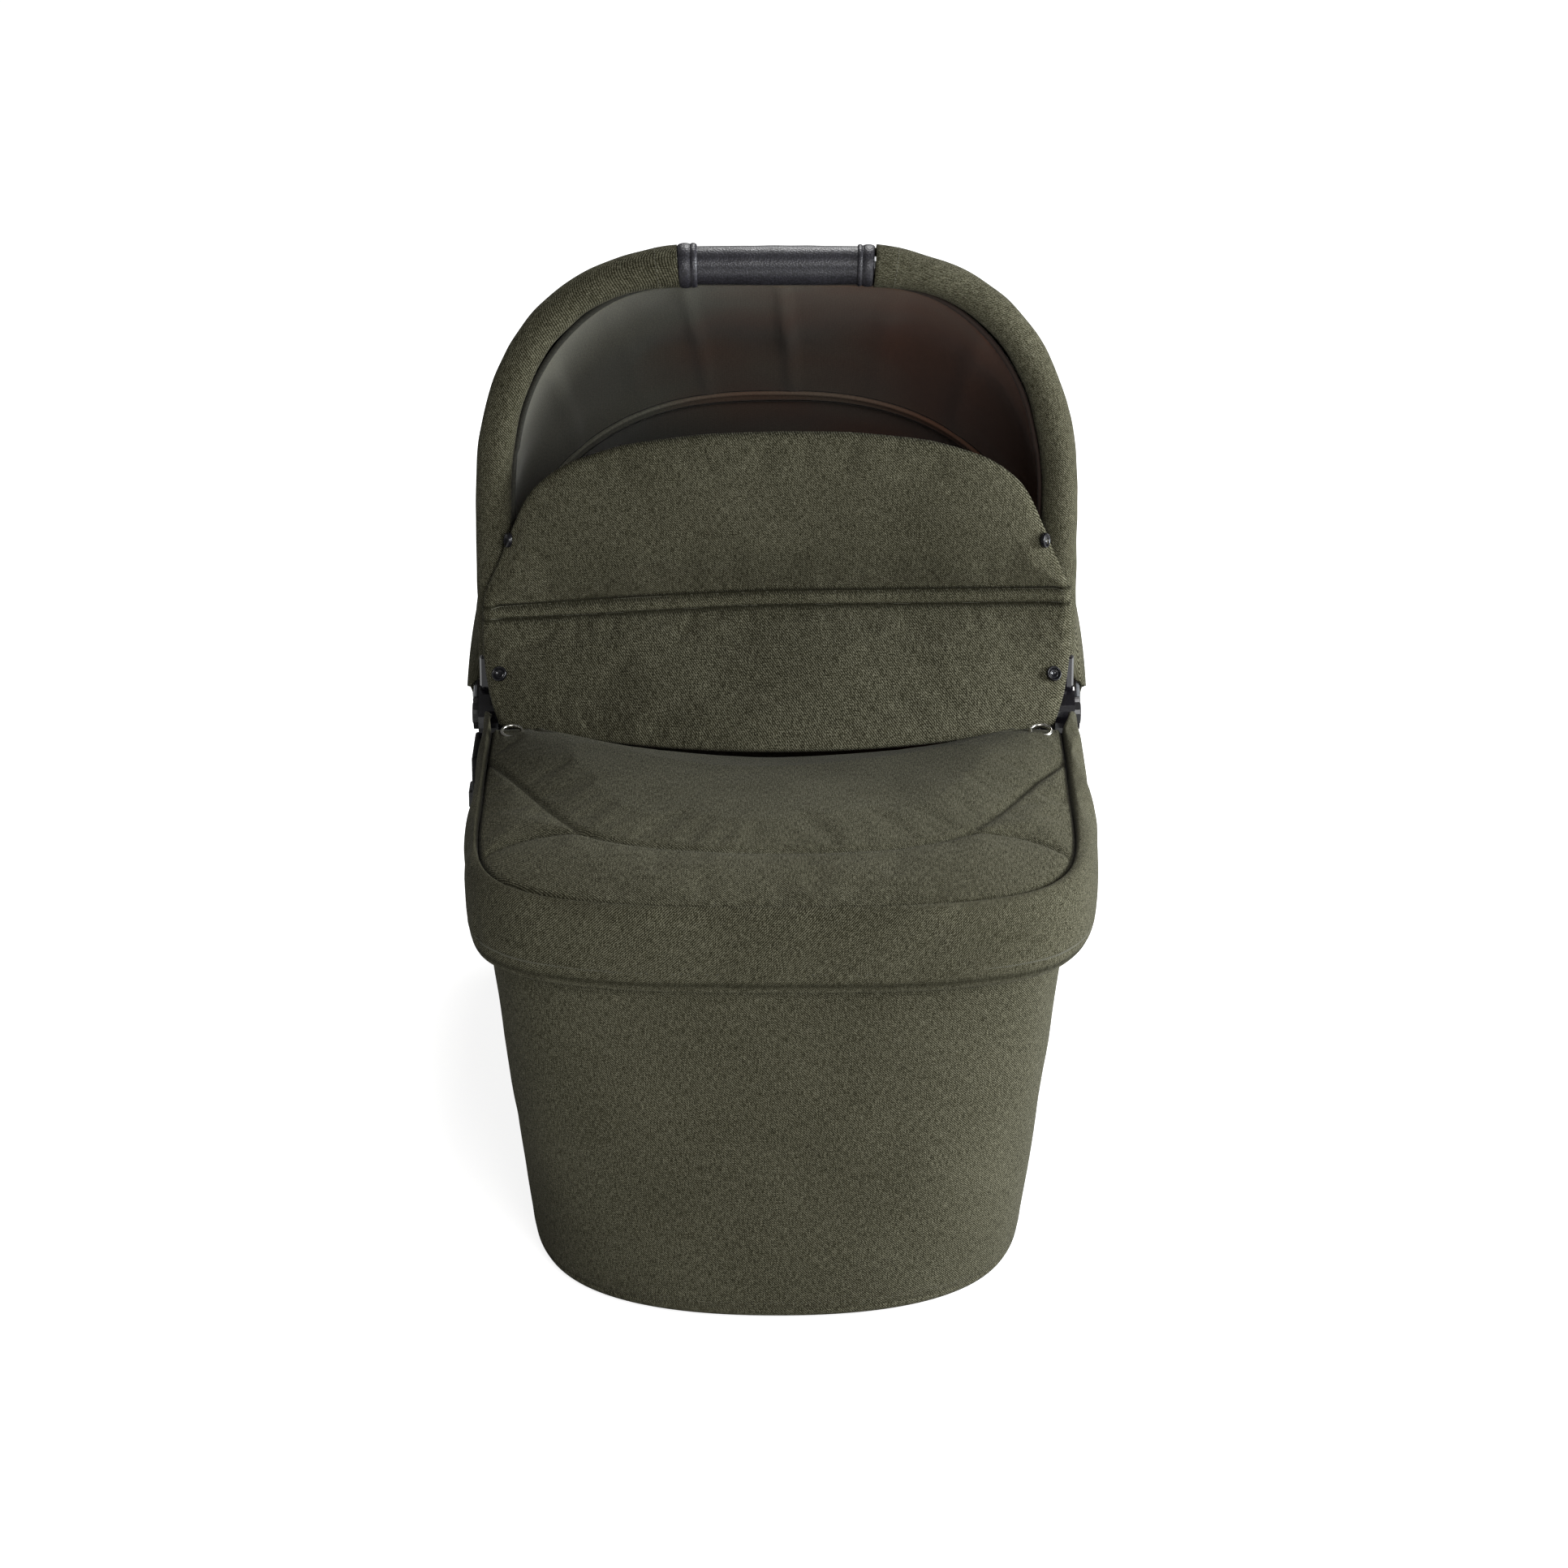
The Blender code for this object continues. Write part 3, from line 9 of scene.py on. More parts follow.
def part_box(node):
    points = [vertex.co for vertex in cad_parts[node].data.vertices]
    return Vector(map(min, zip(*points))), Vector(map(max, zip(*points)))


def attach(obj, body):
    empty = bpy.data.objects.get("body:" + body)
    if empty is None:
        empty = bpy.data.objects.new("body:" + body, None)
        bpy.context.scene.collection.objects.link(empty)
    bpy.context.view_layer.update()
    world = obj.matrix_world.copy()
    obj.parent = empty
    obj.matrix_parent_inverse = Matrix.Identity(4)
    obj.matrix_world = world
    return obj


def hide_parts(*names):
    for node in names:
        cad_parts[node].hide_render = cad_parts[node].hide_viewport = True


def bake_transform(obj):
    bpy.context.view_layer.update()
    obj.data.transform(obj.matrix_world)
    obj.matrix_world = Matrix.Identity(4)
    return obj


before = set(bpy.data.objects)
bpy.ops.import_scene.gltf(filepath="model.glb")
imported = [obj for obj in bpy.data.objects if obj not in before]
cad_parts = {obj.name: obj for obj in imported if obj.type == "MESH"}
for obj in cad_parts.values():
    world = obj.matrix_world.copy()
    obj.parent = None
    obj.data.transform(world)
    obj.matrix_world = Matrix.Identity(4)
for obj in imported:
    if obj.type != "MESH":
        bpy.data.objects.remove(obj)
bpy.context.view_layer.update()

# Base pan and feet. The pan is the stiff floor of the cot, injection moulded in black
# polypropylene, and it stands on four round feet of soft rubber pressed into its underside.


def linear(hex_colour):
    """An sRGB hex colour as the linear colour that a socket takes."""
    shades = [int(hex_colour[k:k + 2], 16) / 255 for k in (1, 3, 5)]
    return (*[s / 12.92 if s <= 0.04045 else ((s + 0.055) / 1.055) ** 2.4 for s in shades], 1.0)


def add(tree, kind, fields, inputs):
    """Add a node, set its fields, and set each input or link it to another node's output."""
    node = tree.nodes.new(kind)
    for field, value in fields.items():
        setattr(node, field, value)
    for socket, value in inputs.items():
        if isinstance(value, bpy.types.NodeSocket):
            tree.links.new(value, node.inputs[socket])
        else:
            node.inputs[socket].default_value = value
    return node


def begin_finish(name, constants):
    """A new material, its node tree and its shader, with constants on the shader's sockets."""
    made = bpy.data.materials.new(name)
    made.use_nodes = True
    shader = made.node_tree.nodes["Principled BSDF"]
    for socket, value in constants.items():
        shader.inputs[socket].default_value = value
    return made, made.node_tree, shader


def hard_finish(name, dark, light, grain, roughness, depth, stretch=(1.0, 1.0, 1.0), constants=None):
    """A hard surface: its grain, in metres, mixes two colours and lifts a bump of that depth.

    Patches thirty grains wide drift its colour and its gloss.
    """
    made, tree, shader = begin_finish(name, constants or {})
    place = add(tree, "ShaderNodeTexCoord", {}, {})
    drawn = add(tree, "ShaderNodeMapping", {}, {"Vector": place.outputs["Object"],
                                                "Scale": stretch})
    fine = add(tree, "ShaderNodeTexNoise", {}, {"Vector": drawn.outputs["Vector"],
                                                "Scale": 1 / grain, "Detail": 3.0})
    broad = add(tree, "ShaderNodeTexNoise", {}, {"Vector": place.outputs["Object"],
                                                 "Scale": 1 / (grain * 30), "Detail": 2.0})
    both = add(tree, "ShaderNodeMath", {"operation": "MULTIPLY_ADD"},
               {0: broad.outputs["Fac"], 1: 0.5, 2: fine.outputs["Fac"]})
    share = add(tree, "ShaderNodeMapRange", {}, {"Value": both.outputs["Value"],
                                                 "From Min": 0.45, "From Max": 1.05})
    colour = add(tree, "ShaderNodeMix", {"data_type": "RGBA"},
                 {0: share.outputs["Result"], 6: linear(dark), 7: linear(light)})
    gloss = add(tree, "ShaderNodeMapRange", {}, {"Value": broad.outputs["Fac"],
                                                 "From Min": 0.3, "From Max": 0.7,
                                                 "To Min": roughness[0], "To Max": roughness[1]})
    raised = add(tree, "ShaderNodeBump", {}, {"Height": fine.outputs["Fac"], "Distance": depth,
                                              "Strength": 0.6})
    tree.links.new(colour.outputs[2], shader.inputs["Base Color"])
    tree.links.new(gloss.outputs["Result"], shader.inputs["Roughness"])
    tree.links.new(raised.outputs["Normal"], shader.inputs["Normal"])
    return made


def dress(finish, *names):
    """Put a finish on CAD nodes, which keep their own meshes."""
    for name in names:
        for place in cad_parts[name].material_slots:
            place.link = "OBJECT"
            place.material = finish


# Moulded polypropylene is nearly black, with a fine spark-eroded grain that dulls its shine.
polypropylene = hard_finish("moulded_polypropylene", "#121211", "#1e1d1c", grain=0.0009,
                            roughness=(0.42, 0.58), depth=0.00006)
dress(polypropylene, "base_pan")
# Soft rubber looks dusty and flat, a little paler than the pan.
rubber = hard_finish("moulded_rubber", "#161514", "#272523", grain=0.0016, roughness=(0.75, 0.92),
                     depth=0.00008)
dress(rubber, "base_foot_foot_left", "base_foot_foot_right",
      "base_foot_head_left", "base_foot_head_right")

# Floor board. A flat stiffener of pressed fibreboard, die cut, laid loose in the pan under
# the mattress, with its felted fibres showing as short dark and pale flecks.
fibreboard = hard_finish("pressed_fibreboard", "#3b342c", "#5d5347", grain=0.0022,
                         roughness=(0.85, 0.95), depth=0.00012, stretch=(1.0, 0.35, 1.0))
dress(fibreboard, "floor_board")

# Mattress. A slab of foam in a zipped cover of white cotton ticking, sewn square and blown
# up a little by the foam inside it.
VOXEL = 0.006


def whole_copy(name, node):
    """A copy of a CAD node's mesh with its loose triangles merged."""
    shape = bmesh.new()
    shape.from_mesh(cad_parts[node].data)
    bmesh.ops.remove_doubles(shape, verts=shape.verts, dist=0.00001)
    shape.normal_update()
    return piece_of(name, shape)


def piece_of(name, shape):
    """A new object from a bmesh, shaded smooth."""
    mesh = bpy.data.meshes.new(name)
    shape.to_mesh(mesh)
    shape.free()
    piece = bpy.data.objects.new(name, mesh)
    bpy.context.scene.collection.objects.link(piece)
    mesh.shade_smooth()
    return piece


def finish_cloth(piece, finish):
    """Give a new piece its one finish and the slot it fills."""
    piece.data.materials.clear()
    piece.data.materials.append(finish)


def apply_all(piece):
    """Make a piece's modifiers part of its mesh."""
    graph = bpy.context.evaluated_depsgraph_get()
    made = bpy.data.meshes.new_from_object(piece.evaluated_get(graph))
    piece.modifiers.clear()
    piece.data = made
    piece.data.shade_smooth()


def settle(piece, held, pressure, growth, cap, bending):
    """Blow up padding with a cloth simulation; held points stay and none moves past the cap."""
    steps = 20
    piece.vertex_groups.new(name="held").add(held, 1.0, "REPLACE")
    padding = piece.modifiers.new("padding", "CLOTH")
    cover = padding.settings
    cover.quality = 6
    cover.mass = 0.3
    cover.tension_stiffness = cover.compression_stiffness = 20.0
    cover.shear_stiffness = 8.0
    cover.bending_stiffness = bending
    cover.use_pressure = True
    cover.uniform_pressure_force = pressure
    cover.vertex_group_mass = "held"
    cover.shrink_min = -growth
    cover.effector_weights.gravity = 0.0
    padding.collision_settings.use_collision = False
    padding.point_cache.frame_start = 1
    padding.point_cache.frame_end = steps
    for step in range(1, steps + 1):
        bpy.context.scene.frame_set(step)
    graph = bpy.context.evaluated_depsgraph_get()
    blown = [point.co.copy() for point in piece.evaluated_get(graph).data.vertices]
    piece.modifiers.remove(padding)
    bpy.context.scene.frame_set(1)
    for point, moved in zip(piece.data.vertices, blown):
        step = moved - point.co
        point.co += step * min(1.0, cap / max(step.length, 0.000001))
    piece.data.update()


mattress = whole_copy("mattress_cover", "mattress")
voxels = mattress.modifiers.new("voxels", "REMESH")
voxels.mode = "VOXEL"
voxels.voxel_size = VOXEL
apply_all(mattress)
# Its lowest layer lies flat on the board.
mattress_low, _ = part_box("mattress")
underside = [point.index for point in mattress.data.vertices
             if point.co.z < mattress_low.z + VOXEL]
settle(mattress, underside, pressure=4.0, growth=0.01, cap=0.004, bending=0.4)
rounder = mattress.modifiers.new("rounder", "SUBSURF")
rounder.levels = rounder.render_levels = 1
# Cotton ticking is a dense white twill with a quiet grey stripe of shadow between its ribs.
ticking = hard_finish("cotton_ticking", "#b9b6ad", "#dedbd2", grain=0.0012,
                      roughness=(0.86, 0.95), depth=0.00015, stretch=(1.0, 0.2, 1.0),
                      constants={"Sheen Weight": 0.15, "Sheen Roughness": 0.5})
finish_cloth(mattress, ticking)
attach(mattress, "base")
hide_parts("mattress")

# Rim tube. An oval of drawn aluminium tube, anodised, that carries the tub cloth, the hood
# and the apron at the top of the cot.

# Drawn and anodised aluminium is satin grey, with faint lines along the draw.
anodised_aluminium = hard_finish("anodised_aluminium", "#7d7e80", "#97989a", grain=0.0011,
                                 roughness=(0.30, 0.42), depth=0.00002, stretch=(1.0, 0.1, 1.0),
                                 constants={"Metallic": 1.0})
dress(anodised_aluminium, "rim_tube", "bow_tube")

# Hubs and receivers. Each side has a moulded hub that grips the rim tube and carries the bow
# pin and the stays, and a socket under it that drops on a chassis adaptor, in glass-filled
# nylon; the steel pin is turned and the release button is moulded.

# Glass-filled nylon is black and slightly cloudy where its fibres reach the surface.
nylon = hard_finish("glass_filled_nylon", "#0f0e10", "#19181a", grain=0.0013,
                    roughness=(0.50, 0.66), depth=0.00005,
                    constants={"Specular IOR Level": 0.3})
dress(nylon, "hub_housing_left", "hub_housing_right", "mount_receiver_left",
      "mount_receiver_right", "stay_clip_foot", "stay_clip_head")
# The buttons are the same nylon, polished by fingers.
button_nylon = hard_finish("polished_nylon", "#1b1a1b", "#2a292a", grain=0.0012,
                           roughness=(0.24, 0.34), depth=0.00003)
dress(button_nylon, "release_button_left", "release_button_right")
# Turned steel shows fine rings and a bright zinc coat.
turned_steel = hard_finish("turned_steel", "#a5a6a8", "#c3c4c5", grain=0.0006,
                           roughness=(0.22, 0.34), depth=0.00001, stretch=(0.2, 1.0, 1.0),
                           constants={"Metallic": 1.0})
dress(turned_steel, "pivot_pin_left", "pivot_pin_right")

# Folding stays. Two U-shaped wires that prop the rim above the pan, bent from spring steel
# and zinc plated, snapped into a nylon clip on each end wall of the pan.

# Zinc plate is pale with a blue-grey cast and cloudy patches.
zinc_plate = hard_finish("zinc_plated_wire", "#8f9296", "#b4b7ba", grain=0.0015,
                         roughness=(0.28, 0.40), depth=0.00002, constants={"Metallic": 1.0})
dress(zinc_plate, "foot_stay", "head_stay", "hood_rib")

# Tub cloth. The outer wall of the cot, one strip of olive melange twill joined to a narrow
# floor binding, pulled taut between the pan and the rim and cut out at the two hubs.
FLOOR_HALF_WIDTH = 0.174
FLOOR_HALF_LENGTH = 0.393
FLOOR_POWERS = (2.2, 6.3)
RIM_HALF_WIDTH = 0.2025
RIM_HALF_LENGTH = 0.432
RIM_POWERS = (3.0, 12.0)
RIM_HEIGHT = 0.300
TUB_COLUMNS = 321
CLOTH_THICKNESS = 0.0016
# The wall is cut out over each hub, up from this height and this far to each side.
CUTOUT_HEIGHT = 0.2615
CUTOUT_HALF_WIDTH = 0.0315
# The floor binding, as rows of (height, inset): its rolled edge, then the groove of its seam.
BINDING_STEPS = ((0.0030, 0.0050), (0.0032, 0.0026), (0.0042, 0.0008), (0.0062, 0.0001),
                 (0.0084, 0.0000), (0.0094, 0.0009), (0.0104, 0.0000), (0.0130, -0.0002))
# An outline is drawn with this many points before they are spread evenly.
OUTLINE_POINTS = 1441


def mix(first, second, share):
    """The value at a share of the way from the first to the second."""
    return first + (second - first) * share


def part_way(value, low, high):
    """How far a value is from low to high, from 0 to 1."""
    return np.clip((value - low) / (high - low), 0.0, 1.0)


def travelled(line):
    """Distance along a line of points from its first one."""
    return np.concatenate([[0.0], np.cumsum(np.linalg.norm(np.diff(line, axis=0), axis=1))])


def even(points, count):
    """The points of a line spread evenly along its length."""
    line = np.array(points, float)
    along = travelled(line)
    targets = np.linspace(0.0, along[-1], count)
    return np.stack([np.interp(targets, along, line[:, k]) for k in range(line.shape[1])], axis=1)


def oval(half_width, half_length, powers, count):
    """A closed plan outline whose last point is its first, at the middle of the head end."""
    turn = np.linspace(math.pi / 2, 2.5 * math.pi, OUTLINE_POINTS)
    across = half_width * np.sign(np.cos(turn)) * np.abs(np.cos(turn)) ** (2 / powers[0])
    along = half_length * np.sign(np.sin(turn)) * np.abs(np.sin(turn)) ** (2 / powers[1])
    return even(np.stack([across, along], axis=1), count)


def tub_outline(height, inset, count):
    """The outside of the tub at a height, drawn in by an inset."""
    share = height / RIM_HEIGHT
    powers = [mix(a, b, share) for a, b in zip(FLOOR_POWERS, RIM_POWERS)]
    return oval(mix(FLOOR_HALF_WIDTH, RIM_HALF_WIDTH, share) - inset,
                mix(FLOOR_HALF_LENGTH, RIM_HALF_LENGTH, share) - inset, powers, count)


def lengths(points, axis):
    """Distance along a grid of points from its first row or column."""
    steps = np.linalg.norm(np.diff(points, axis=axis), axis=2)
    start = np.zeros_like(steps.take([0], axis=axis))
    return np.concatenate([start, np.cumsum(steps, axis=axis)], axis=axis)


def lay(shape, points, chart=None):
    """Lay a grid of faces on points[row, column], with a UV chart in metres of cloth."""
    rows, columns = points.shape[:2]
    if chart is None:
        across = lengths(points, 1)
        chart = np.stack([across - across[:, -1:] / 2, lengths(points, 0)], axis=2)
    layer = shape.loops.layers.uv.verify()
    made = bmesh.ops.create_grid(shape, x_segments=columns - 1, y_segments=rows - 1, size=0.5)
    faces, spots = set(), {}
    for corner in made["verts"]:
        spot = (round((corner.co.y + 0.5) * (rows - 1)), round((corner.co.x + 0.5) * (columns - 1)))
        spots[corner] = spot
        corner.co = points[spot]
        faces.update(corner.link_faces)
    for face in faces:
        for loop in face.loops:
            loop[layer].uv = chart[spots[loop.vert]]


def sewn(middle, *grids):
    """Lay grids, merge them along their shared edges and face them away from a middle point."""
    shape = bmesh.new()
    for grid in grids:
        lay(shape, *grid)
    bmesh.ops.remove_doubles(shape, verts=shape.verts, dist=0.00002)
    shape.normal_update()
    facing = sum(face.normal.dot(face.calc_center_median() - Vector(middle)) * face.calc_area()
                 for face in shape.faces)
    if facing < 0:
        bmesh.ops.reverse_faces(shape, faces=shape.faces)
    return shape


def walled(piece, thickness):
    """Give a sheet its thickness, inwards."""
    wall = piece.modifiers.new("thickness", "SOLIDIFY")
    wall.thickness = thickness
    wall.offset = -1.0
    wall.use_even_offset = True
    return piece


def waves(points, normals, depth, size, seed):
    """Move a grid of points in and out by a soft noise of that depth and size."""
    moved = points.copy()
    for spot in np.ndindex(points.shape[:2]):
        place = Vector(points[spot]) / size + Vector((seed, seed * 2.3, seed * 0.7))
        moved[spot] += normals[spot] * depth * noise.noise(place)
    return moved


def grid_normals(points, middle):
    """Unit normals of a grid of points, away from a middle point."""
    out = np.cross(np.gradient(points, axis=1), np.gradient(points, axis=0))
    out /= np.linalg.norm(out, axis=2)[:, :, None] + 1e-12
    if np.sum(out * (points - np.array(middle))) < 0:
        out = -out
    return out


def twill(name, dark, middle, light, depth):
    """Melange twill: warp and weft of mixed dark and pale fibres, with slanting twill lines."""
    made, tree, shader = begin_finish(name, {"Roughness": 0.95, "Specular IOR Level": 0.05,
                                             "Sheen Weight": 0.02, "Sheen Roughness": 0.4})
    chart = add(tree, "ShaderNodeTexCoord", {}, {})
    streaks = []
    # Warp slubs 0.8 mm wide and 6 mm long, weft slubs 4 mm by 0.8 mm, and specks of 0.8 mm:
    # coarser than the yarn of 0.3 mm, which wouldn't show.
    for across, along in ((0.0008, 0.006), (0.004, 0.0008), (0.0008, 0.0008)):
        drawn = add(tree, "ShaderNodeMapping", {}, {"Vector": chart.outputs["UV"],
                                                    "Scale": (1 / across, 1 / along, 1.0)})
        streaks.append(add(tree, "ShaderNodeTexNoise", {}, {"Vector": drawn.outputs["Vector"],
                                                            "Scale": 1.0, "Detail": 2.0}))
    # Twill lines 1.8 mm apart, drawn at four times the real pitch so that they show. At a
    # scale of 1 the node's slanting lines are 0.628 m apart.
    lines = add(tree, "ShaderNodeTexWave", {"bands_direction": "DIAGONAL"},
                {"Vector": chart.outputs["UV"], "Scale": 0.628 / 0.0018, "Distortion": 1.5,
                 "Detail": 1.0, "Detail Scale": 1.5})
    # Patches 7 cm wide, the slubs, the specks and the lines add up by these weights.
    cloudy = add(tree, "ShaderNodeTexNoise", {}, {"Vector": chart.outputs["UV"],
                                                  "Scale": 1 / 0.07, "Detail": 2.0})
    level = add(tree, "ShaderNodeMath", {"operation": "MULTIPLY"}, {0: cloudy.outputs["Fac"], 1: 0.06})
    for source, weight in zip(streaks + [lines], (0.30, 0.22, 0.50, 0.16)):
        level = add(tree, "ShaderNodeMath", {"operation": "MULTIPLY_ADD"},
                    {0: source.outputs["Fac"], 1: weight, 2: level.outputs["Value"]})
    ramp = add(tree, "ShaderNodeValToRGB", {}, {"Fac": level.outputs["Value"]})
    shades = ramp.color_ramp.elements
    shades[0].position, shades[0].color = 0.53, linear(dark)
    shades[1].position, shades[1].color = 0.735, linear(light)
    shades.new(0.63).color = linear(middle)
    grain = add(tree, "ShaderNodeMath", {"operation": "MULTIPLY_ADD"},
                {0: lines.outputs["Fac"], 1: 0.4, 2: streaks[2].outputs["Fac"]})
    raised = add(tree, "ShaderNodeBump", {}, {"Height": grain.outputs["Value"],
                                              "Distance": depth, "Strength": 0.7})
    # Sewn creases are painted dark as painted shade: they take the darkest fibre's colour.
    painted_crease_shade = add(tree, "ShaderNodeAttribute", {"attribute_name": "painted_crease_shade"}, {})
    crease_shade_weight = add(tree, "ShaderNodeMath", {"operation": "MULTIPLY"}, {0: painted_crease_shade.outputs["Fac"], 1: 0.88})
    shaded = add(tree, "ShaderNodeMix", {"data_type": "RGBA"},
                 {0: crease_shade_weight.outputs["Value"], 6: ramp.outputs["Color"], 7: linear(dark)})
    tree.links.new(shaded.outputs[2], shader.inputs["Base Color"])
    tree.links.new(raised.outputs["Normal"], shader.inputs["Normal"])
    return made


# Olive melange twill looks matt and dry, with pale and dark fibres that streak downwards.
olive_twill = twill("olive_melange_twill", "#232218", "#444233", "#72705f", 0.00026)

tub_steps = list(BINDING_STEPS)
tub_steps += [(height, 0.0) for height in np.linspace(0.022, CUTOUT_HEIGHT, 22)]
tub_steps += [(height, 0.0) for height in np.linspace(0.270, 0.291, 3)]
tub_points = np.array([[(x, y, height) for x, y in tub_outline(height, inset, TUB_COLUMNS)]
                       for height, inset in tub_steps])
# A breath of slack between the pan and the rim, none at the two seams.
slack = np.sin(math.pi * part_way(tub_points[:, :, 2], 0.015, 0.265))[:, :, None]
tub_out = grid_normals(tub_points, (0.0, 0.0, 0.15)) * slack
tub_points = waves(tub_points, tub_out, depth=0.0016, size=0.085, seed=3.0)
tub_points = waves(tub_points, tub_out * np.array([1.0, 1.0, 0.0]), depth=0.0007, size=0.030,
                   seed=5.0)
tub_points[:, -1] = tub_points[:, 0]
shape = sewn((0.0, 0.0, 0.15), [tub_points])
cutouts = [face for face in shape.faces if face.calc_center_median().z > CUTOUT_HEIGHT
           and abs(face.calc_center_median().y) < CUTOUT_HALF_WIDTH]
bmesh.ops.delete(shape, geom=cutouts, context="FACES")
tub_cloth = walled(piece_of("tub_cloth", shape), CLOTH_THICKNESS)
finish_cloth(tub_cloth, olive_twill)
apply_all(tub_cloth)
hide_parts("tub_fabric")
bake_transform(tub_cloth)

# Floor seam of the tub. One row of lockstitch holds the floor binding to the wall, in thick
# olive thread whose short stitches stand just proud of the cloth.
FLOOR_SEAM_HEIGHT = 0.0145


def stitches(name, path, outward, pitch, slant=0.0, size=(0.0011, 0.00042, 0.00028)):
    """Stitches along a path, each a small thread lying on the cloth; slant makes a zigzag."""
    path = np.array(path, float)
    outward = np.broadcast_to(np.array(outward, float), path.shape)
    run = np.linalg.norm(np.diff(path, axis=0), axis=1).sum()
    count = max(int(run / pitch), 2)
    both = even(np.concatenate([path, outward], axis=1), count * 8)[::8]
    along = np.gradient(both[:, :3], axis=0)
    # They are made in short runs, because each new one takes longer in a long mesh.
    shape, run_shape, run_mesh = bmesh.new(), bmesh.new(), bpy.data.meshes.new("run")
    for k, (spot, ahead) in enumerate(zip(both, along)):
        lift = Vector(spot[3:]).normalized()
        forward = Vector(ahead).normalized()
        aside = lift.cross(forward).normalized()
        forward = (forward + aside * slant * (-1) ** k).normalized()
        aside = lift.cross(forward).normalized()
        turned = Matrix((forward, aside, lift)).transposed().to_4x4()
        place = Matrix.Translation(Vector(spot[:3])) @ turned @ Matrix.Diagonal((*size, 1.0))
        bmesh.ops.create_uvsphere(run_shape, u_segments=6, v_segments=4, radius=1.0, matrix=place)
        if k % 30 == 29 or k == len(both) - 1:
            run_shape.to_mesh(run_mesh)
            shape.from_mesh(run_mesh)
            run_shape.clear()
    run_shape.free()
    bpy.data.meshes.remove(run_mesh)
    shape.normal_update()
    return piece_of(name, shape)


# Cotton-wrapped polyester thread, one solid dye a little paler than the twill.
thread = hard_finish("olive_sewing_thread", "#3f3e31", "#5f5e50", grain=0.0006,
                     roughness=(0.75, 0.9), depth=0.00002)
floor_line = np.array([(x, y, FLOOR_SEAM_HEIGHT)
                       for x, y in tub_outline(FLOOR_SEAM_HEIGHT, 0.0, 1201)])
floor_out = np.stack([np.gradient(floor_line[:, 1]), -np.gradient(floor_line[:, 0]),
                      floor_line[:, 0] * 0.0], axis=1)
floor_seam = stitches("tub_floor_stitches", floor_line, floor_out, pitch=0.0042)
finish_cloth(floor_seam, thread)
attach(floor_seam, "base")

# Tub lining. The smooth inner wall, a plain-woven dark polyester, sewn to the floor cover and
# turned over the rim tube; it creases a little where it folds with the tub.
LINING_THICKNESS = 0.0010
# Stages of (half width, half length, powers, height): straight up from the board beside the
# mattress, out along the wall, and up to the top of the rim.
LINING_STAGES = ((0.159, 0.361, FLOOR_POWERS, 0.0108), (0.159, 0.361, FLOOR_POWERS, 0.075),
                 (0.1640, 0.385, FLOOR_POWERS, 0.248), (0.1685, 0.398, RIM_POWERS, 0.3040))


def plain_weave(name, dark, light, shade_brown):
    """Plain weave, thin and smooth: cool to warm in patches, with painted brown shade to the right."""
    made, tree, shader = begin_finish(name, {"Roughness": 0.82, "Specular IOR Level": 0.25,
                                             "Sheen Weight": 0.08, "Sheen Roughness": 0.4})
    place = add(tree, "ShaderNodeTexCoord", {}, {})
    # Threads 1.1 mm apart each way, three times the real pitch so that they show. At a scale
    # of 1 the node's lines are 0.314 m apart.
    warp, weft = [add(tree, "ShaderNodeTexWave", {"bands_direction": axis},
                      {"Vector": place.outputs["UV"], "Scale": 0.314 / 0.0011, "Distortion": 0.8})
                  for axis in "XY"]
    weave = add(tree, "ShaderNodeMath", {"operation": "MULTIPLY"},
                {0: warp.outputs["Fac"], 1: weft.outputs["Fac"]})
    specks = add(tree, "ShaderNodeTexNoise", {}, {"Vector": place.outputs["UV"],
                                                  "Scale": 1 / 0.0016, "Detail": 2.0})
    level = add(tree, "ShaderNodeMath", {"operation": "MULTIPLY_ADD"},
                {0: weave.outputs["Value"], 1: 0.3, 2: specks.outputs["Fac"]})
    share = add(tree, "ShaderNodeMapRange", {}, {"Value": level.outputs["Value"],
                                                 "From Min": 0.42, "From Max": 0.80})
    colour = add(tree, "ShaderNodeMix", {"data_type": "RGBA"},
                 {0: share.outputs["Result"], 6: linear(dark), 7: linear(light)})
    # It is painted browner to the right as painted shade, and warmer in random patches 16 cm wide.
    parts = add(tree, "ShaderNodeSeparateXYZ", {}, {"Vector": place.outputs["Object"]})
    cloudy = add(tree, "ShaderNodeTexNoise", {}, {"Vector": place.outputs["Object"],
                                                  "Scale": 1 / 0.16, "Detail": 2.0})
    side_shade_and_patches = add(tree, "ShaderNodeMath", {"operation": "MULTIPLY_ADD"},
                {0: parts.outputs["X"], 1: 2.2, 2: cloudy.outputs["Fac"]})
    brown_shade_share = add(tree, "ShaderNodeMapRange", {}, {"Value": side_shade_and_patches.outputs["Value"],
                                                  "From Min": 0.34, "From Max": 0.80,
                                                  "To Max": 0.95})
    tinted = add(tree, "ShaderNodeMix", {"data_type": "RGBA"},
                 {0: brown_shade_share.outputs["Result"], 6: colour.outputs[2], 7: linear(shade_brown)})
    raised = add(tree, "ShaderNodeBump", {}, {"Height": level.outputs["Value"],
                                              "Distance": 0.00012, "Strength": 0.6})
    tree.links.new(tinted.outputs[2], shader.inputs["Base Color"])
    tree.links.new(raised.outputs["Normal"], shader.inputs["Normal"])
    return made


# Dark lining is a dense plain weave, greenish black, and browner where the light is warm.
dark_lining = plain_weave("dark_plain_weave", "#55554b", "#706e62", "#63402f")


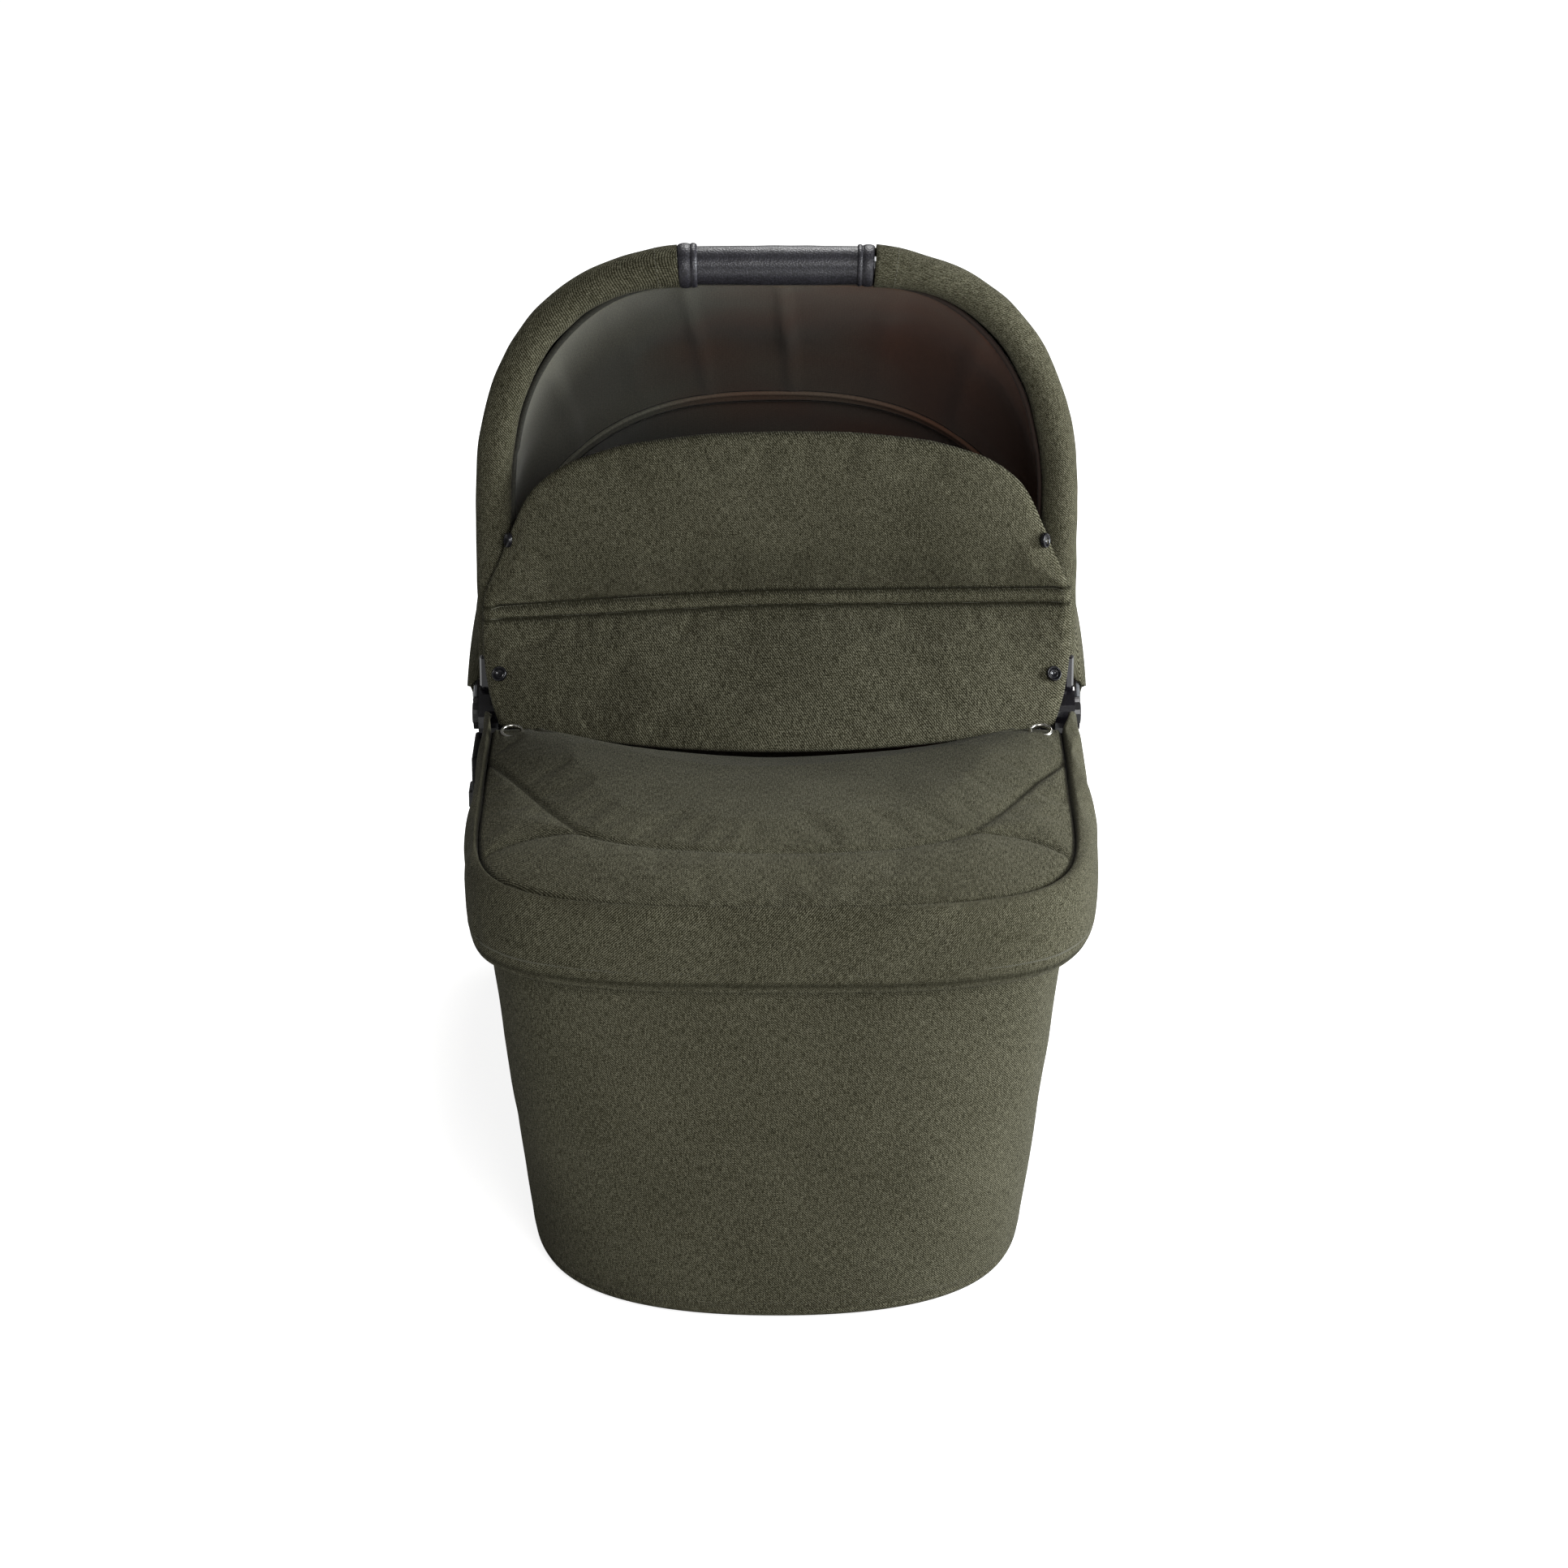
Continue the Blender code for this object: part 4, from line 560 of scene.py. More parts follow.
def through(rows, steps):
    """More rows on smooth curves through a few rows of points."""
    rows = np.array(rows, float)
    padded = np.concatenate([2 * rows[:1] - rows[1:2], rows, 2 * rows[-1:] - rows[-2:-1]])
    made = []
    for k in range(len(rows) - 1):
        before, a, b, after = padded[k:k + 4]
        for t in np.linspace(0.0, 1.0, steps, endpoint=False):
            made.append(a + 0.5 * t * (b - before + t * (2 * before - 5 * a + 4 * b - after
                                                         + t * (3 * (a - b) + after - before))))
    return np.array(made + [rows[-1]])


stages = [np.array([(x, y, height) for x, y in oval(width, length, powers, 241)])
          for width, length, powers, height in LINING_STAGES]
lining_points = np.array([mix(low, high, share) for low, high in zip(stages, stages[1:])
                          for share in np.linspace(0.0, 1.0, 9, endpoint=False)] + [stages[-1]])
slack = np.sin(math.pi * part_way(lining_points[:, :, 2], 0.02, 0.29))[:, :, None]
lining_out = grid_normals(lining_points, (0.0, 0.0, 0.15)) * slack
lining_points = waves(lining_points, -lining_out, depth=0.0022, size=0.06, seed=9.0)
lining_points[:, -1] = lining_points[:, 0]
tub_inside = walled(piece_of("tub_inner_wall", sewn((0.0, 0.0, 0.15), [lining_points])),
                    LINING_THICKNESS)
finish_cloth(tub_inside, dark_lining)
apply_all(tub_inside)
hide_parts("tub_lining")
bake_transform(tub_inside)

# Bow arms. The glossy lower ends of the bow, injection moulded in ABS and polished, turn on
# the hub pins; the round button in the middle of each frees the bow to fold back.

# Polished ABS is piano black, smooth enough to show soft reflections.
polished_abs = hard_finish("polished_black_abs", "#0f0e11", "#19171c", grain=0.004,
                           roughness=(0.10, 0.18), depth=0.00001,
                           constants={"Coat Weight": 0.4, "Coat Roughness": 0.06})
dress(polished_abs, "bow_arm_left", "bow_arm_right")
dress(button_nylon, "hood_button_left", "hood_button_right", "rib_eye_left", "rib_eye_right")

# Bow sleeves. Two tubes of olive twill over a thin foam, slid on the bow tube and hemmed at
# the grip, where they flare; the inner bend of each gathers in shallow creases.
BOW_HALF_WIDTH = 0.2045
BOW_RISE = 0.3385
BOW_LEG = 0.150
BOW_FLAT_HALF = 0.047
BOW_POINTS = 5761
GRIP_HALF_LENGTH = 0.069
SIDES = (("left", -1.0), ("right", 1.0))
# A sleeve starts at this height over the pivot and ends a small gap beside the grip. Its two
# hems turn in by these depths, and its seam lies a few rows of points before its top.
SLEEVE_FOOT = 0.0383
SLEEVE_GAP = 0.0010
SLEEVE_RADIUS = 0.0130
SLEEVE_FLARE = 0.0024
SLEEVE_HEMS = (0.0022, 0.0024)
SLEEVE_THICKNESS = 0.0014
SLEEVE_SEAM_ROW = -8


def bow_line(lowest):
    """The bow's centreline as (x, height above the pivot), from one foot to the other."""
    turn = np.linspace(0.0, math.pi, OUTLINE_POINTS)
    share = 2 / 2.5
    across = -np.sign(np.cos(turn)) * (
        BOW_FLAT_HALF + (BOW_HALF_WIDTH - BOW_FLAT_HALF) * np.abs(np.cos(turn)) ** share)
    up = BOW_LEG + (BOW_RISE - BOW_LEG) * np.abs(np.sin(turn)) ** share
    line = np.stack([across, up], axis=1)
    return np.concatenate([[[-BOW_HALF_WIDTH, lowest]], line, [[BOW_HALF_WIDTH, lowest]]])


def bow_stretch(x_from, x_to, lowest, count):
    """Points along the bow's centreline between two x values, as (x, y, z)."""
    line = even(bow_line(lowest), BOW_POINTS)
    inside = line[(line[:, 0] >= x_from) & (line[:, 0] <= x_to)]
    inside = even(inside, count)
    return np.stack([inside[:, 0], inside[:, 0] * 0.0, RIM_HEIGHT + inside[:, 1]], axis=1)


def rings(path, radius, sides, up):
    """Rings of points round a path, a row each; up lies across the plane of the path."""
    path = np.array(path, float)
    along = np.gradient(path, axis=0)
    along /= np.linalg.norm(along, axis=1)[:, None]
    aside = np.cross(along, np.broadcast_to(np.array(up, float), path.shape))
    aside /= np.linalg.norm(aside, axis=1)[:, None]
    over = np.cross(aside, along)
    turn = -np.linspace(0.0, 2 * math.pi, sides + 1)[None, :, None]
    radius = np.broadcast_to(np.array(radius, float), (len(path),))
    ring = aside[:, None, :] * np.cos(turn) + over[:, None, :] * np.sin(turn)
    return path[:, None, :] + ring * radius[:, None, None], ring


def tube_piece(name, points, wall=0.0):
    """A tube laid on rings of points, closed at both ends by its own hem rings."""
    points[:, -1] = points[:, 0]
    shape = bmesh.new()
    lay(shape, points)
    bmesh.ops.remove_doubles(shape, verts=shape.verts, dist=0.00001)
    shape.normal_update()
    piece = piece_of(name, shape)
    return walled(piece, wall) if wall else piece


for side, across in SIDES:
    end = GRIP_HALF_LENGTH + SLEEVE_GAP
    span = (-math.inf, -end) if across < 0 else (end, math.inf)
    path = bow_stretch(*span, SLEEVE_FOOT, 150)
    if across > 0:
        path = path[::-1]
    # Rows run from the arm up to the grip; both ends turn in to a hem.
    run = travelled(path)
    left = run[-1] - run
    radius = (SLEEVE_RADIUS + SLEEVE_FLARE * np.exp(-(left / 0.026) ** 2)
              - 0.0010 * np.exp(-(run / 0.006) ** 2))
    points, ring = rings(path, radius, sides=40, up=(0.0, 1.0, 0.0))
    points = waves(points, ring, depth=0.0007, size=0.022, seed=20.0 + across)
    # Creases 5 cm apart gather where the sleeve faces the inside of the bend.
    inward = np.array([0.0, 0.0, 0.45]) - path / np.linalg.norm(path, axis=1)[:, None]
    inner = np.clip((ring * inward[:, None, :]).sum(axis=2), 0.0, 1.0)
    bend = inner * np.exp(-((run - run[-1] * 0.62) / 0.09) ** 2)[:, None]
    points += ring * (0.0007 * bend * np.sin(run / 0.0085)[:, None])[:, :, None]
    points = np.concatenate([[points[0] - ring[0] * SLEEVE_HEMS[0]], points,
                             [points[-1] - ring[-1] * SLEEVE_HEMS[1]]])
    sleeve = tube_piece("sleeve_" + side, points, wall=SLEEVE_THICKNESS)
    finish_cloth(sleeve, olive_twill)
    apply_all(sleeve)
    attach(sleeve, "hood_bow")
    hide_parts("bow_sleeve_" + side)
    seam = stitches("sleeve_stitches_" + side, points[SLEEVE_SEAM_ROW][:-1],
                    ring[SLEEVE_SEAM_ROW][:-1], pitch=0.0030)
    finish_cloth(seam, thread)
    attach(seam, "hood_bow")

# Carrying grip. Black leatherette with a pebbled grain, wrapped round the bow over foam and
# sewn under it, with a rolled collar at each end that is creased along its middle.
GRIP_RADIUS = 0.0133
GRIP_SWELL = 0.0007
GRIP_SIDES = 48
BOW_FOOT = 0.0503
COLLAR_THICKNESS = 0.0010
# Each collar is (distance from the grip's middle, radius): an edge, two rolls and a groove.
COLLAR_SHAPE = ((0.0574, 0.0140), (0.0576, 0.0145), (0.0585, 0.0150), (0.0596, 0.0150),
                (0.0605, 0.0145), (0.0610, 0.0142), (0.0618, 0.0146), (0.0634, 0.0151),
                (0.0655, 0.0152), (0.0672, 0.0150), (0.0685, 0.0145), (0.0690, 0.0139))


def leatherette(name, dark, light):
    """Leatherette: pebbles of grain 1.3 mm across, shiny on top and dull in the creases."""
    made, tree, shader = begin_finish(name, {"Specular IOR Level": 0.55})
    place = add(tree, "ShaderNodeTexCoord", {}, {})
    bent = add(tree, "ShaderNodeTexNoise", {}, {"Vector": place.outputs["Object"],
                                                "Scale": 1 / 0.004, "Detail": 1.0})
    shifted = add(tree, "ShaderNodeMix", {"data_type": "VECTOR"},
                  {0: 0.0006, 4: place.outputs["Object"], 5: bent.outputs["Color"]})
    cells = add(tree, "ShaderNodeTexVoronoi", {"feature": "F1"},
                {"Vector": shifted.outputs[1], "Scale": 1 / 0.0013})
    share = add(tree, "ShaderNodeMapRange", {}, {"Value": cells.outputs["Distance"],
                                                 "From Min": 0.1, "From Max": 0.7})
    colour = add(tree, "ShaderNodeMix", {"data_type": "RGBA"},
                 {0: share.outputs["Result"], 6: linear(light), 7: linear(dark)})
    gloss = add(tree, "ShaderNodeMapRange", {}, {"Value": share.outputs["Result"],
                                                 "To Min": 0.30, "To Max": 0.52})
    raised = add(tree, "ShaderNodeBump", {"invert": True},
                 {"Height": share.outputs["Result"], "Distance": 0.00018, "Strength": 0.7})
    tree.links.new(colour.outputs[2], shader.inputs["Base Color"])
    tree.links.new(gloss.outputs["Result"], shader.inputs["Roughness"])
    tree.links.new(raised.outputs["Normal"], shader.inputs["Normal"])
    return made


# Embossed leatherette is a soft black, greyer where its pebbles catch the light.
grip_leather = leatherette("black_leatherette", "#1b1a1f", "#38373e")


def capped(points, middle_line, drops):
    """Close both ends of a wrap of rings by turning its last ring in to the tube."""
    first = [mix(points[0], middle_line[0], d) for d in drops][::-1]
    last = [mix(points[-1], middle_line[-1], d) for d in drops]
    return np.concatenate([first, points, last])


path = bow_stretch(-GRIP_HALF_LENGTH, GRIP_HALF_LENGTH, BOW_FOOT, 121)
swell = GRIP_RADIUS + GRIP_SWELL * np.cos(path[:, 0] / GRIP_HALF_LENGTH * math.pi / 2)
points, ring = rings(path, swell, sides=GRIP_SIDES, up=(0.0, 1.0, 0.0))
points = waves(points, ring, depth=0.0005, size=0.020, seed=31.0)
# The seam under the grip, a quarter turn round, sinks a little between its two turned edges.
under = np.exp(-((np.arange(GRIP_SIDES + 1) - GRIP_SIDES / 4) / 1.2) ** 2)[None, :, None]
points -= ring * under * 0.0008
grip = tube_piece("leatherette_grip", capped(points, path, drops=(0.06, 0.38)))
finish_cloth(grip, grip_leather)
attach(grip, "hood_bow")
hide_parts("handle_grip")
# The collars follow the bow's bend, a row of points for each of their stations.
stations = np.array(COLLAR_SHAPE)
right_half = even(bow_line(BOW_FOOT), BOW_POINTS)[BOW_POINTS // 2:]
heights = RIM_HEIGHT + np.interp(stations[:, 0], *right_half.T)
for side, across in SIDES:
    path = np.stack([across * stations[:, 0], stations[:, 0] * 0.0, heights], axis=1)
    path = through(path, 4)
    radius = through(stations[:, 1:], 4)[:, 0]
    points, _ = rings(path, radius, sides=GRIP_SIDES, up=(0.0, 1.0, 0.0))
    if across < 0:
        points = points[::-1]
    collar = tube_piece("grip_collar_wrap_" + side, points, wall=COLLAR_THICKNESS)
    finish_cloth(collar, grip_leather)
    apply_all(collar)
    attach(collar, "hood_bow")
    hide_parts("grip_collar_" + side)

# Hood. Olive twill stretched from the bow over a wire rib to the rim, in two panels joined by
# a taped seam along the rib, with a deep hem that hides the rim.
RIB_ANGLE = math.radians(35)
RIB_POWERS = (2.5, 2.5)
HOOD_COLUMNS = 221
HOOD_FULLNESS = 0.0080
HOOD_ROWS = 25
HOOD_MIDDLE = (0.0, 0.20, 0.33)
HEM_CORNER = 0.034
HEM_SEAM_ROW = -5
# The hem below the rim, as rows of (drop, inset): it turns under after a sewn groove.
HEM_STEPS = ((0.006, 0.0), (0.013, 0.0), (0.020, 0.0002), (0.0205, 0.0011), (0.0212, 0.0011),
             (0.0218, 0.0001), (0.026, 0.0), (0.031, 0.0003), (0.032, 0.0012))


def arch(half_width, reach, powers, start, count):
    """Half an outline: from (-half_width, start) over (0, reach) to (half_width, start)."""
    turn = np.linspace(0.0, math.pi, OUTLINE_POINTS)
    across = -half_width * np.sign(np.cos(turn)) * np.abs(np.cos(turn)) ** (2 / powers[0])
    up = reach * np.abs(np.sin(turn)) ** (2 / powers[1])
    edge = half_width * (1 - (start / reach) ** powers[1]) ** (1 / powers[0])
    inside = np.stack([across, up], axis=1)[up >= start]
    return even(np.concatenate([[[-edge, start]], inside, [[edge, start]]]), count)


def bow_offset(distance, start):
    """The bow's centreline moved out by a distance, above a height over the pivot."""
    line = even(bow_line(0.0), OUTLINE_POINTS)
    slopes = np.gradient(line, axis=0)
    slopes /= np.linalg.norm(slopes, axis=1)[:, None]
    moved = line + distance * np.stack([-slopes[:, 1], slopes[:, 0]], axis=1)
    return even(moved[moved[:, 1] >= start], HOOD_COLUMNS)


def cut_corners(line, depth):
    """The taut front edge of the lining runs inside the bow's two bends."""
    bend = np.exp(-((np.abs(line[:, 0]) - 0.155) / 0.036) ** 2) * (line[:, 1] > 0.20)
    toward = np.stack([-np.sign(line[:, 0]) * 0.72, np.full(len(line), -0.69)], axis=1)
    return line + toward * (depth * bend)[:, None]


def taut_reach(first, second, angle):
    """Distance from the pivot to a straight line between two points given as (angle, reach)."""
    (angle_a, reach_a), (angle_b, reach_b) = first, second
    across = reach_a * reach_b * math.sin(angle_a - angle_b)
    return across / (reach_a * math.sin(angle_a - angle) + reach_b * math.sin(angle - angle_b))


def hood_rows(front_offset, rib, rim, setback, starts, front_count, rear_count, cut=0.0):
    """Rows from the bow over the rib to the rim; rib and rim are (half width, reach)."""
    upright = math.pi / 2
    front = cut_corners(bow_offset(front_offset, starts[0]), cut)
    at_rib = arch(*rib, RIB_POWERS, starts[1], HOOD_COLUMNS)
    front_reach = BOW_RISE + front_offset
    rows = []
    for share in np.linspace(0.0, 1.0, front_count):
        angle = mix(upright, RIB_ANGLE, share)
        taut = taut_reach((upright, front_reach), (RIB_ANGLE, rib[1]), angle)
        full = (taut + HOOD_FULLNESS * math.sin(math.pi * share)) / mix(front_reach, rib[1], share)
        line = mix(front, at_rib, share) * np.array([1.0, full])
        rows.append((angle, mix(setback, 0.0, share), line))
    for share in np.linspace(0.0, 1.0, rear_count)[1:]:
        angle = mix(RIB_ANGLE, 0.0, share)
        taut = taut_reach((RIB_ANGLE, rib[1]), (0.0, rim[1]), angle)
        powers = [mix(a, b, share ** 2) for a, b in zip(RIB_POWERS, RIM_POWERS)]
        rows.append((angle, 0.0, arch(mix(rib[0], rim[0], share),
                                      taut + HOOD_FULLNESS * math.sin(math.pi * share), powers,
                                      mix(starts[1], starts[2], share), HOOD_COLUMNS)))
    return np.array([[(x, s * math.cos(angle) + back, RIM_HEIGHT + s * math.sin(angle))
                      for x, s in line] for angle, back, line in rows])


shell_points = hood_rows(front_offset=0.0090, rib=(0.2267, 0.3110), rim=(0.2250, 0.4475),
                         setback=0.0165, starts=(0.024, 0.024, 0.045), front_count=HOOD_ROWS,
                         rear_count=HOOD_ROWS)
rim_row = shell_points[-1]
# The hem's two front corners are cut round.
hem_run = lengths(rim_row[None], 1)[0]
from_front = part_way(np.minimum(hem_run, hem_run[-1] - hem_run), 0.0, HEM_CORNER)
rounded = (0.22 + 0.78 * np.sqrt(1 - (1 - from_front) ** 2))[:, None]
hem_rows = []
for drop, inset in HEM_STEPS:
    # An inset shrinks the row about the middle of the cot, about 0.3 m away.
    shrink = 1 - inset / 0.3
    hem_rows.append(rim_row * np.array([shrink, shrink, 1.0])
                    - np.array([0.0, 0.0, drop]) * rounded)
shell_points = np.concatenate([shell_points, np.array(hem_rows)])
shell_out = grid_normals(shell_points, HOOD_MIDDLE)
# Each panel is slack in its middle and taut at the bow, the rib and the rim.
panel = np.sin(math.pi * np.linspace(0.0, 1.0, HOOD_ROWS))
loose = np.concatenate([panel, panel[1:], np.zeros(len(HEM_STEPS))])[:, None, None]
shell_points = waves(shell_points, shell_out * loose, depth=0.0030, size=0.075, seed=41.0)
# The taped seam stands up along the rib.
RIB_ROW = HOOD_ROWS - 1
from_rib = (np.arange(len(shell_points)) - RIB_ROW)[:, None, None]
shell_points += shell_out * (0.0009 * np.exp(-(from_rib / 0.7) ** 2))
hood = walled(piece_of("hood_outer", sewn(HOOD_MIDDLE, [shell_points])), CLOTH_THICKNESS)
finish_cloth(hood, olive_twill)
apply_all(hood)
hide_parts("hood_shell")
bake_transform(hood)
for name, row in (("front", RIB_ROW - 1), ("rear", RIB_ROW + 1), ("hem", HEM_SEAM_ROW)):
    seam = stitches("hood_stitches_" + name, shell_points[row], shell_out[row], pitch=0.0042)
    finish_cloth(seam, thread)
    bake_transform(seam)

# Hood lining. The dark plain weave inside the hood, a few millimetres clear of the twill,
# bound along its front edge, with a taped seam over the rib and soft creases from folding.
LINING_FRONT_ROWS = 41
LINING_REAR_ROWS = 25
SEAM_ROW = LINING_FRONT_ROWS - 1
CORD_RADIUS = 0.0019
CORD_LIFT = 0.0022
CORD_RINGS = 301
TAPE_THICKNESS = 0.0008
SHADE_LINE_RADIUS = 0.0010
BINDING_RADIUS = 0.0021
# Creases run back from the bow: (x at the front, x at the rib, depth, half width).
CREASES = ((-0.066, -0.052, 0.0046, 0.0050), (0.004, 0.012, 0.0056, 0.0050),
           (-0.120, -0.100, 0.0016, 0.0060), (-0.165, -0.150, 0.0040, 0.0050),
           (0.085, 0.075, 0.0018, 0.0090), (0.150, 0.135, 0.0034, 0.0070))
# The tape's rows and its stitches, as (distance behind the seam, lift off the lining), and the thin
# dark tubes of painted shade beside the cord and the tape, as (name, distance, lift).
TAPE_STEPS = ((0.0024, 0.0004), (0.0034, 0.0014), (0.0065, 0.0020), (0.0100, 0.0027),
              (0.0120, 0.0031))
TAPE_SEAM = (0.0045, 0.0018)
SHADE_LINES = (("front", -0.0026, 0.0004), ("rear", 0.0134, 0.0032))
lining_points = hood_rows(front_offset=-0.0138, rib=(0.2168, 0.3011), rim=(0.2150, 0.4375),
                          setback=0.0030, starts=(0.056, 0.040, 0.048),
                          front_count=LINING_FRONT_ROWS, rear_count=LINING_REAR_ROWS, cut=0.0032)
lining_out = grid_normals(lining_points, HOOD_MIDDLE)
front_share = np.concatenate([np.linspace(0.0, 1.0, LINING_FRONT_ROWS),
                              np.zeros(LINING_REAR_ROWS - 1)])
rear_share = np.concatenate([np.zeros(SEAM_ROW), np.linspace(0.0, 1.0, LINING_REAR_ROWS)])
loose = (np.sin(math.pi * front_share) ** 0.7 + np.sin(math.pi * rear_share))[:, None, None]
lining_points = waves(lining_points, lining_out * loose, depth=0.0055, size=0.085, seed=51.0)
for start_x, end_x, depth, half in CREASES:
    line_x = mix(start_x, end_x, front_share)[:, None]
    ridge = np.exp(-((lining_points[:, :, 0] - line_x) / half) ** 2)
    ridge *= (np.sin(math.pi * front_share) ** 0.5)[:, None]
    lining_points -= lining_out * (depth * ridge)[:, :, None]
hood_inside = walled(piece_of("hood_inner", sewn(HOOD_MIDDLE, [lining_points])), LINING_THICKNESS)
finish_cloth(hood_inside, dark_lining)
apply_all(hood_inside)
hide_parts("hood_lining")
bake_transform(hood_inside)


def beside(points, row, distance):
    """The line that runs on a grid of points at a distance from one of its rows."""
    run = lengths(points, 0) - lengths(points, 0)[row]
    return np.array([[np.interp(distance, run[:, k], points[:, k, axis]) for axis in range(3)]
                     for k in range(points.shape[1])])


def along_rib(distance, lift):
    """The line at a distance behind the lining's seam and lifted off the lining."""
    return beside(lining_points, SEAM_ROW, distance) - lining_out[SEAM_ROW] * lift


# The panels meet over the rib: a covered cord stands up between them, a tape 10 mm wide lies
# behind it, and one row of stitches holds both.
cord, _ = rings(even(along_rib(0.0, CORD_LIFT), CORD_RINGS), CORD_RADIUS, sides=8,
                up=(0.0, 0.5, 0.5))
rib_cord = tube_piece("hood_lining_cord", cord)
tape_rows = np.array([along_rib(distance, lift) for distance, lift in TAPE_STEPS])
rib_tape = walled(piece_of("hood_lining_tape", sewn(HOOD_MIDDLE, [tape_rows])), TAPE_THICKNESS)
apply_all(rib_tape)
# The lining's thread is dull polyester, paler than the cloth, so its stitches show.
lining_thread = hard_finish("dark_sewing_thread", "#6a6659", "#7d796c", grain=0.0006,
                            roughness=(0.75, 0.9), depth=0.00002)
rib_seam = stitches("hood_lining_stitches", along_rib(*TAPE_SEAM), -lining_out[SEAM_ROW],
                    pitch=0.0042)
# The binding is a darker tape, folded over the edge; tubes of it along the seam are painted shade.
binding_tape = plain_weave("dark_binding_tape", "#2a2a25", "#3a3932", "#2c201b")
shade_lines = []
for name, distance, lift in SHADE_LINES:
    points, _ = rings(even(along_rib(distance, lift), CORD_RINGS), SHADE_LINE_RADIUS, sides=6,
                      up=(0.0, 0.5, 0.5))
    shade_lines.append(tube_piece("hood_lining_shade_line_" + name, points))
for piece, finish in ((rib_cord, dark_lining), (rib_tape, dark_lining), (rib_seam, lining_thread),
                      (shade_lines[0], binding_tape), (shade_lines[1], binding_tape)):
    finish_cloth(piece, finish)
    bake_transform(piece)
edge_path = even(lining_points[0] + np.array([0.0, 0.0004, 0.0]), CORD_RINGS)
points, _ = rings(edge_path, BINDING_RADIUS, sides=10, up=(0.0, 1.0, 0.0))
binding = tube_piece("hood_front_binding", points)
finish_cloth(binding, binding_tape)
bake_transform(binding)

# Apron. A padded cover over the foot half: twill on wadding, quilted in one curved seam with
# two short darts, its top sewn in a deep groove to a skirt that drops over the rim.
APRON_HALF_WIDTH = 0.2035
APRON_HALF_LENGTH = 0.4400
APRON_EDGE_HEIGHT = 0.3225
APRON_COLUMNS = 241
REAR_EDGE = 0.100
REAR_BOW = 0.050
REAR_HALF_WIDTH = 0.160
CROWN = 0.0120
CROWN_Y = -0.300
PUFF = 0.0042
GROOVE = 0.0026
EDGE_GROOVE = 0.0042
REAR_GROOVE = 0.0034
# The wadding's ridge along the curved seam, and how much higher it is at the seam's ends.
RIDGE = 0.0055
RIDGE_GAIN = 0.0040
APRON_THICKNESS = 0.0022
# The curved seam is sewn loosely up to the first of these distances from the middle, and
# firmly from the second.
LOOSE_MIDDLE = (0.045, 0.115)
# Half the curved seam and one dart, as (x, y) on the apron's top.
CURVED_SEAM = ((0.2037, -0.1605), (0.1778, -0.2289), (0.1527, -0.2949), (0.1331, -0.3350),
               (0.1142, -0.3525), (0.0845, -0.3642), (0.0410, -0.3742), (0.0, -0.3757))
DART = ((0.1991, -0.3521), (0.1870, -0.3420), (0.1655, -0.3342), (0.1436, -0.3360),
        (0.1240, -0.3430))


def smooth_line(points, count):
    """Points spread evenly on a smooth curve through a few."""
    return even(through(points, 12), count)


def away(points, line):
    """Distance in plan from each of many points to a line of points."""
    flat = points[:, :, :2].reshape(-1, 2)
    near = np.full(len(flat), 1.0)
    for a, b in zip(line[:-1], line[1:]):
        run = b - a
        share = np.clip(((flat - a) @ run) / (run @ run), 0.0, 1.0)
        near = np.minimum(near, np.linalg.norm(flat - (a + share[:, None] * run), axis=1))
    return near.reshape(points.shape[:2])


def rear_seam(x):
    """Y of the apron's rear edge at x, which bows forward under the flap."""
    return -REAR_EDGE - REAR_BOW * (1 - part_way(np.abs(x), 0.0, REAR_HALF_WIDTH) ** 2)


def crown(x, y):
    """Height of the apron's top before it is quilted: it falls to the foot and to the flap."""
    across = np.clip(1 - (np.abs(x) / APRON_HALF_WIDTH) ** 2.4, 0.0, 1.0)
    past = np.where(y < CROWN_Y, (CROWN_Y - y) / (APRON_HALF_LENGTH + CROWN_Y),
                    (y - CROWN_Y) / (rear_seam(x) - CROWN_Y))
    return APRON_EDGE_HEIGHT + CROWN * across * np.clip(1 - past ** 2, 0.0, 1.0)


spine_x = np.linspace(-REAR_HALF_WIDTH, REAR_HALF_WIDTH, APRON_COLUMNS)
spine = np.stack([spine_x, rear_seam(spine_x)], axis=1)
sewn_edge = arch(APRON_HALF_WIDTH, APRON_HALF_LENGTH, RIM_POWERS, REAR_EDGE, APRON_COLUMNS)
sewn_edge = sewn_edge * np.array([1.0, -1.0])
# Rows from the rear edge out to the line where the top is sewn to the skirt, closer at both.
shares = np.linspace(0.0, 1.0, 130)
shares -= 0.07 * np.sin(2 * math.pi * shares)
plan = np.array([mix(spine, sewn_edge, share) for share in shares])
top = np.concatenate([plan, crown(plan[:, :, 0], plan[:, :, 1])[:, :, None]], axis=2)
half_seam = smooth_line(CURVED_SEAM, 60)
mirrored = np.array([-1.0, 1.0])
seam_line = np.concatenate([half_seam, half_seam[::-1][1:] * mirrored])
dart = smooth_line(DART, 40)
other_dart = dart * mirrored
edge_line = even(sewn_edge, 160)
rear_line = even(spine, 60)
to_seam, to_edge, to_rear = [away(top, line) for line in (seam_line, edge_line, rear_line)]
to_dart = np.minimum(away(top, dart), away(top, other_dart))
# The wadding lifts the cover to a low ridge along the curved seam, higher towards its ends and
# steeper on the side of the foot.
ridge = RIDGE + RIDGE_GAIN * part_way(np.abs(top[:, :, 0]), 0.080, 0.140)
seam_y = np.interp(np.abs(top[:, :, 0]), *half_seam[::-1].T)
slack = np.where(top[:, :, 1] < seam_y, 0.050, 0.110)
top[:, :, 2] += (ridge * np.exp(-to_seam / slack) * (1 - np.exp(-to_edge / 0.030))
                 * (1 - np.exp(-to_rear / 0.030)))
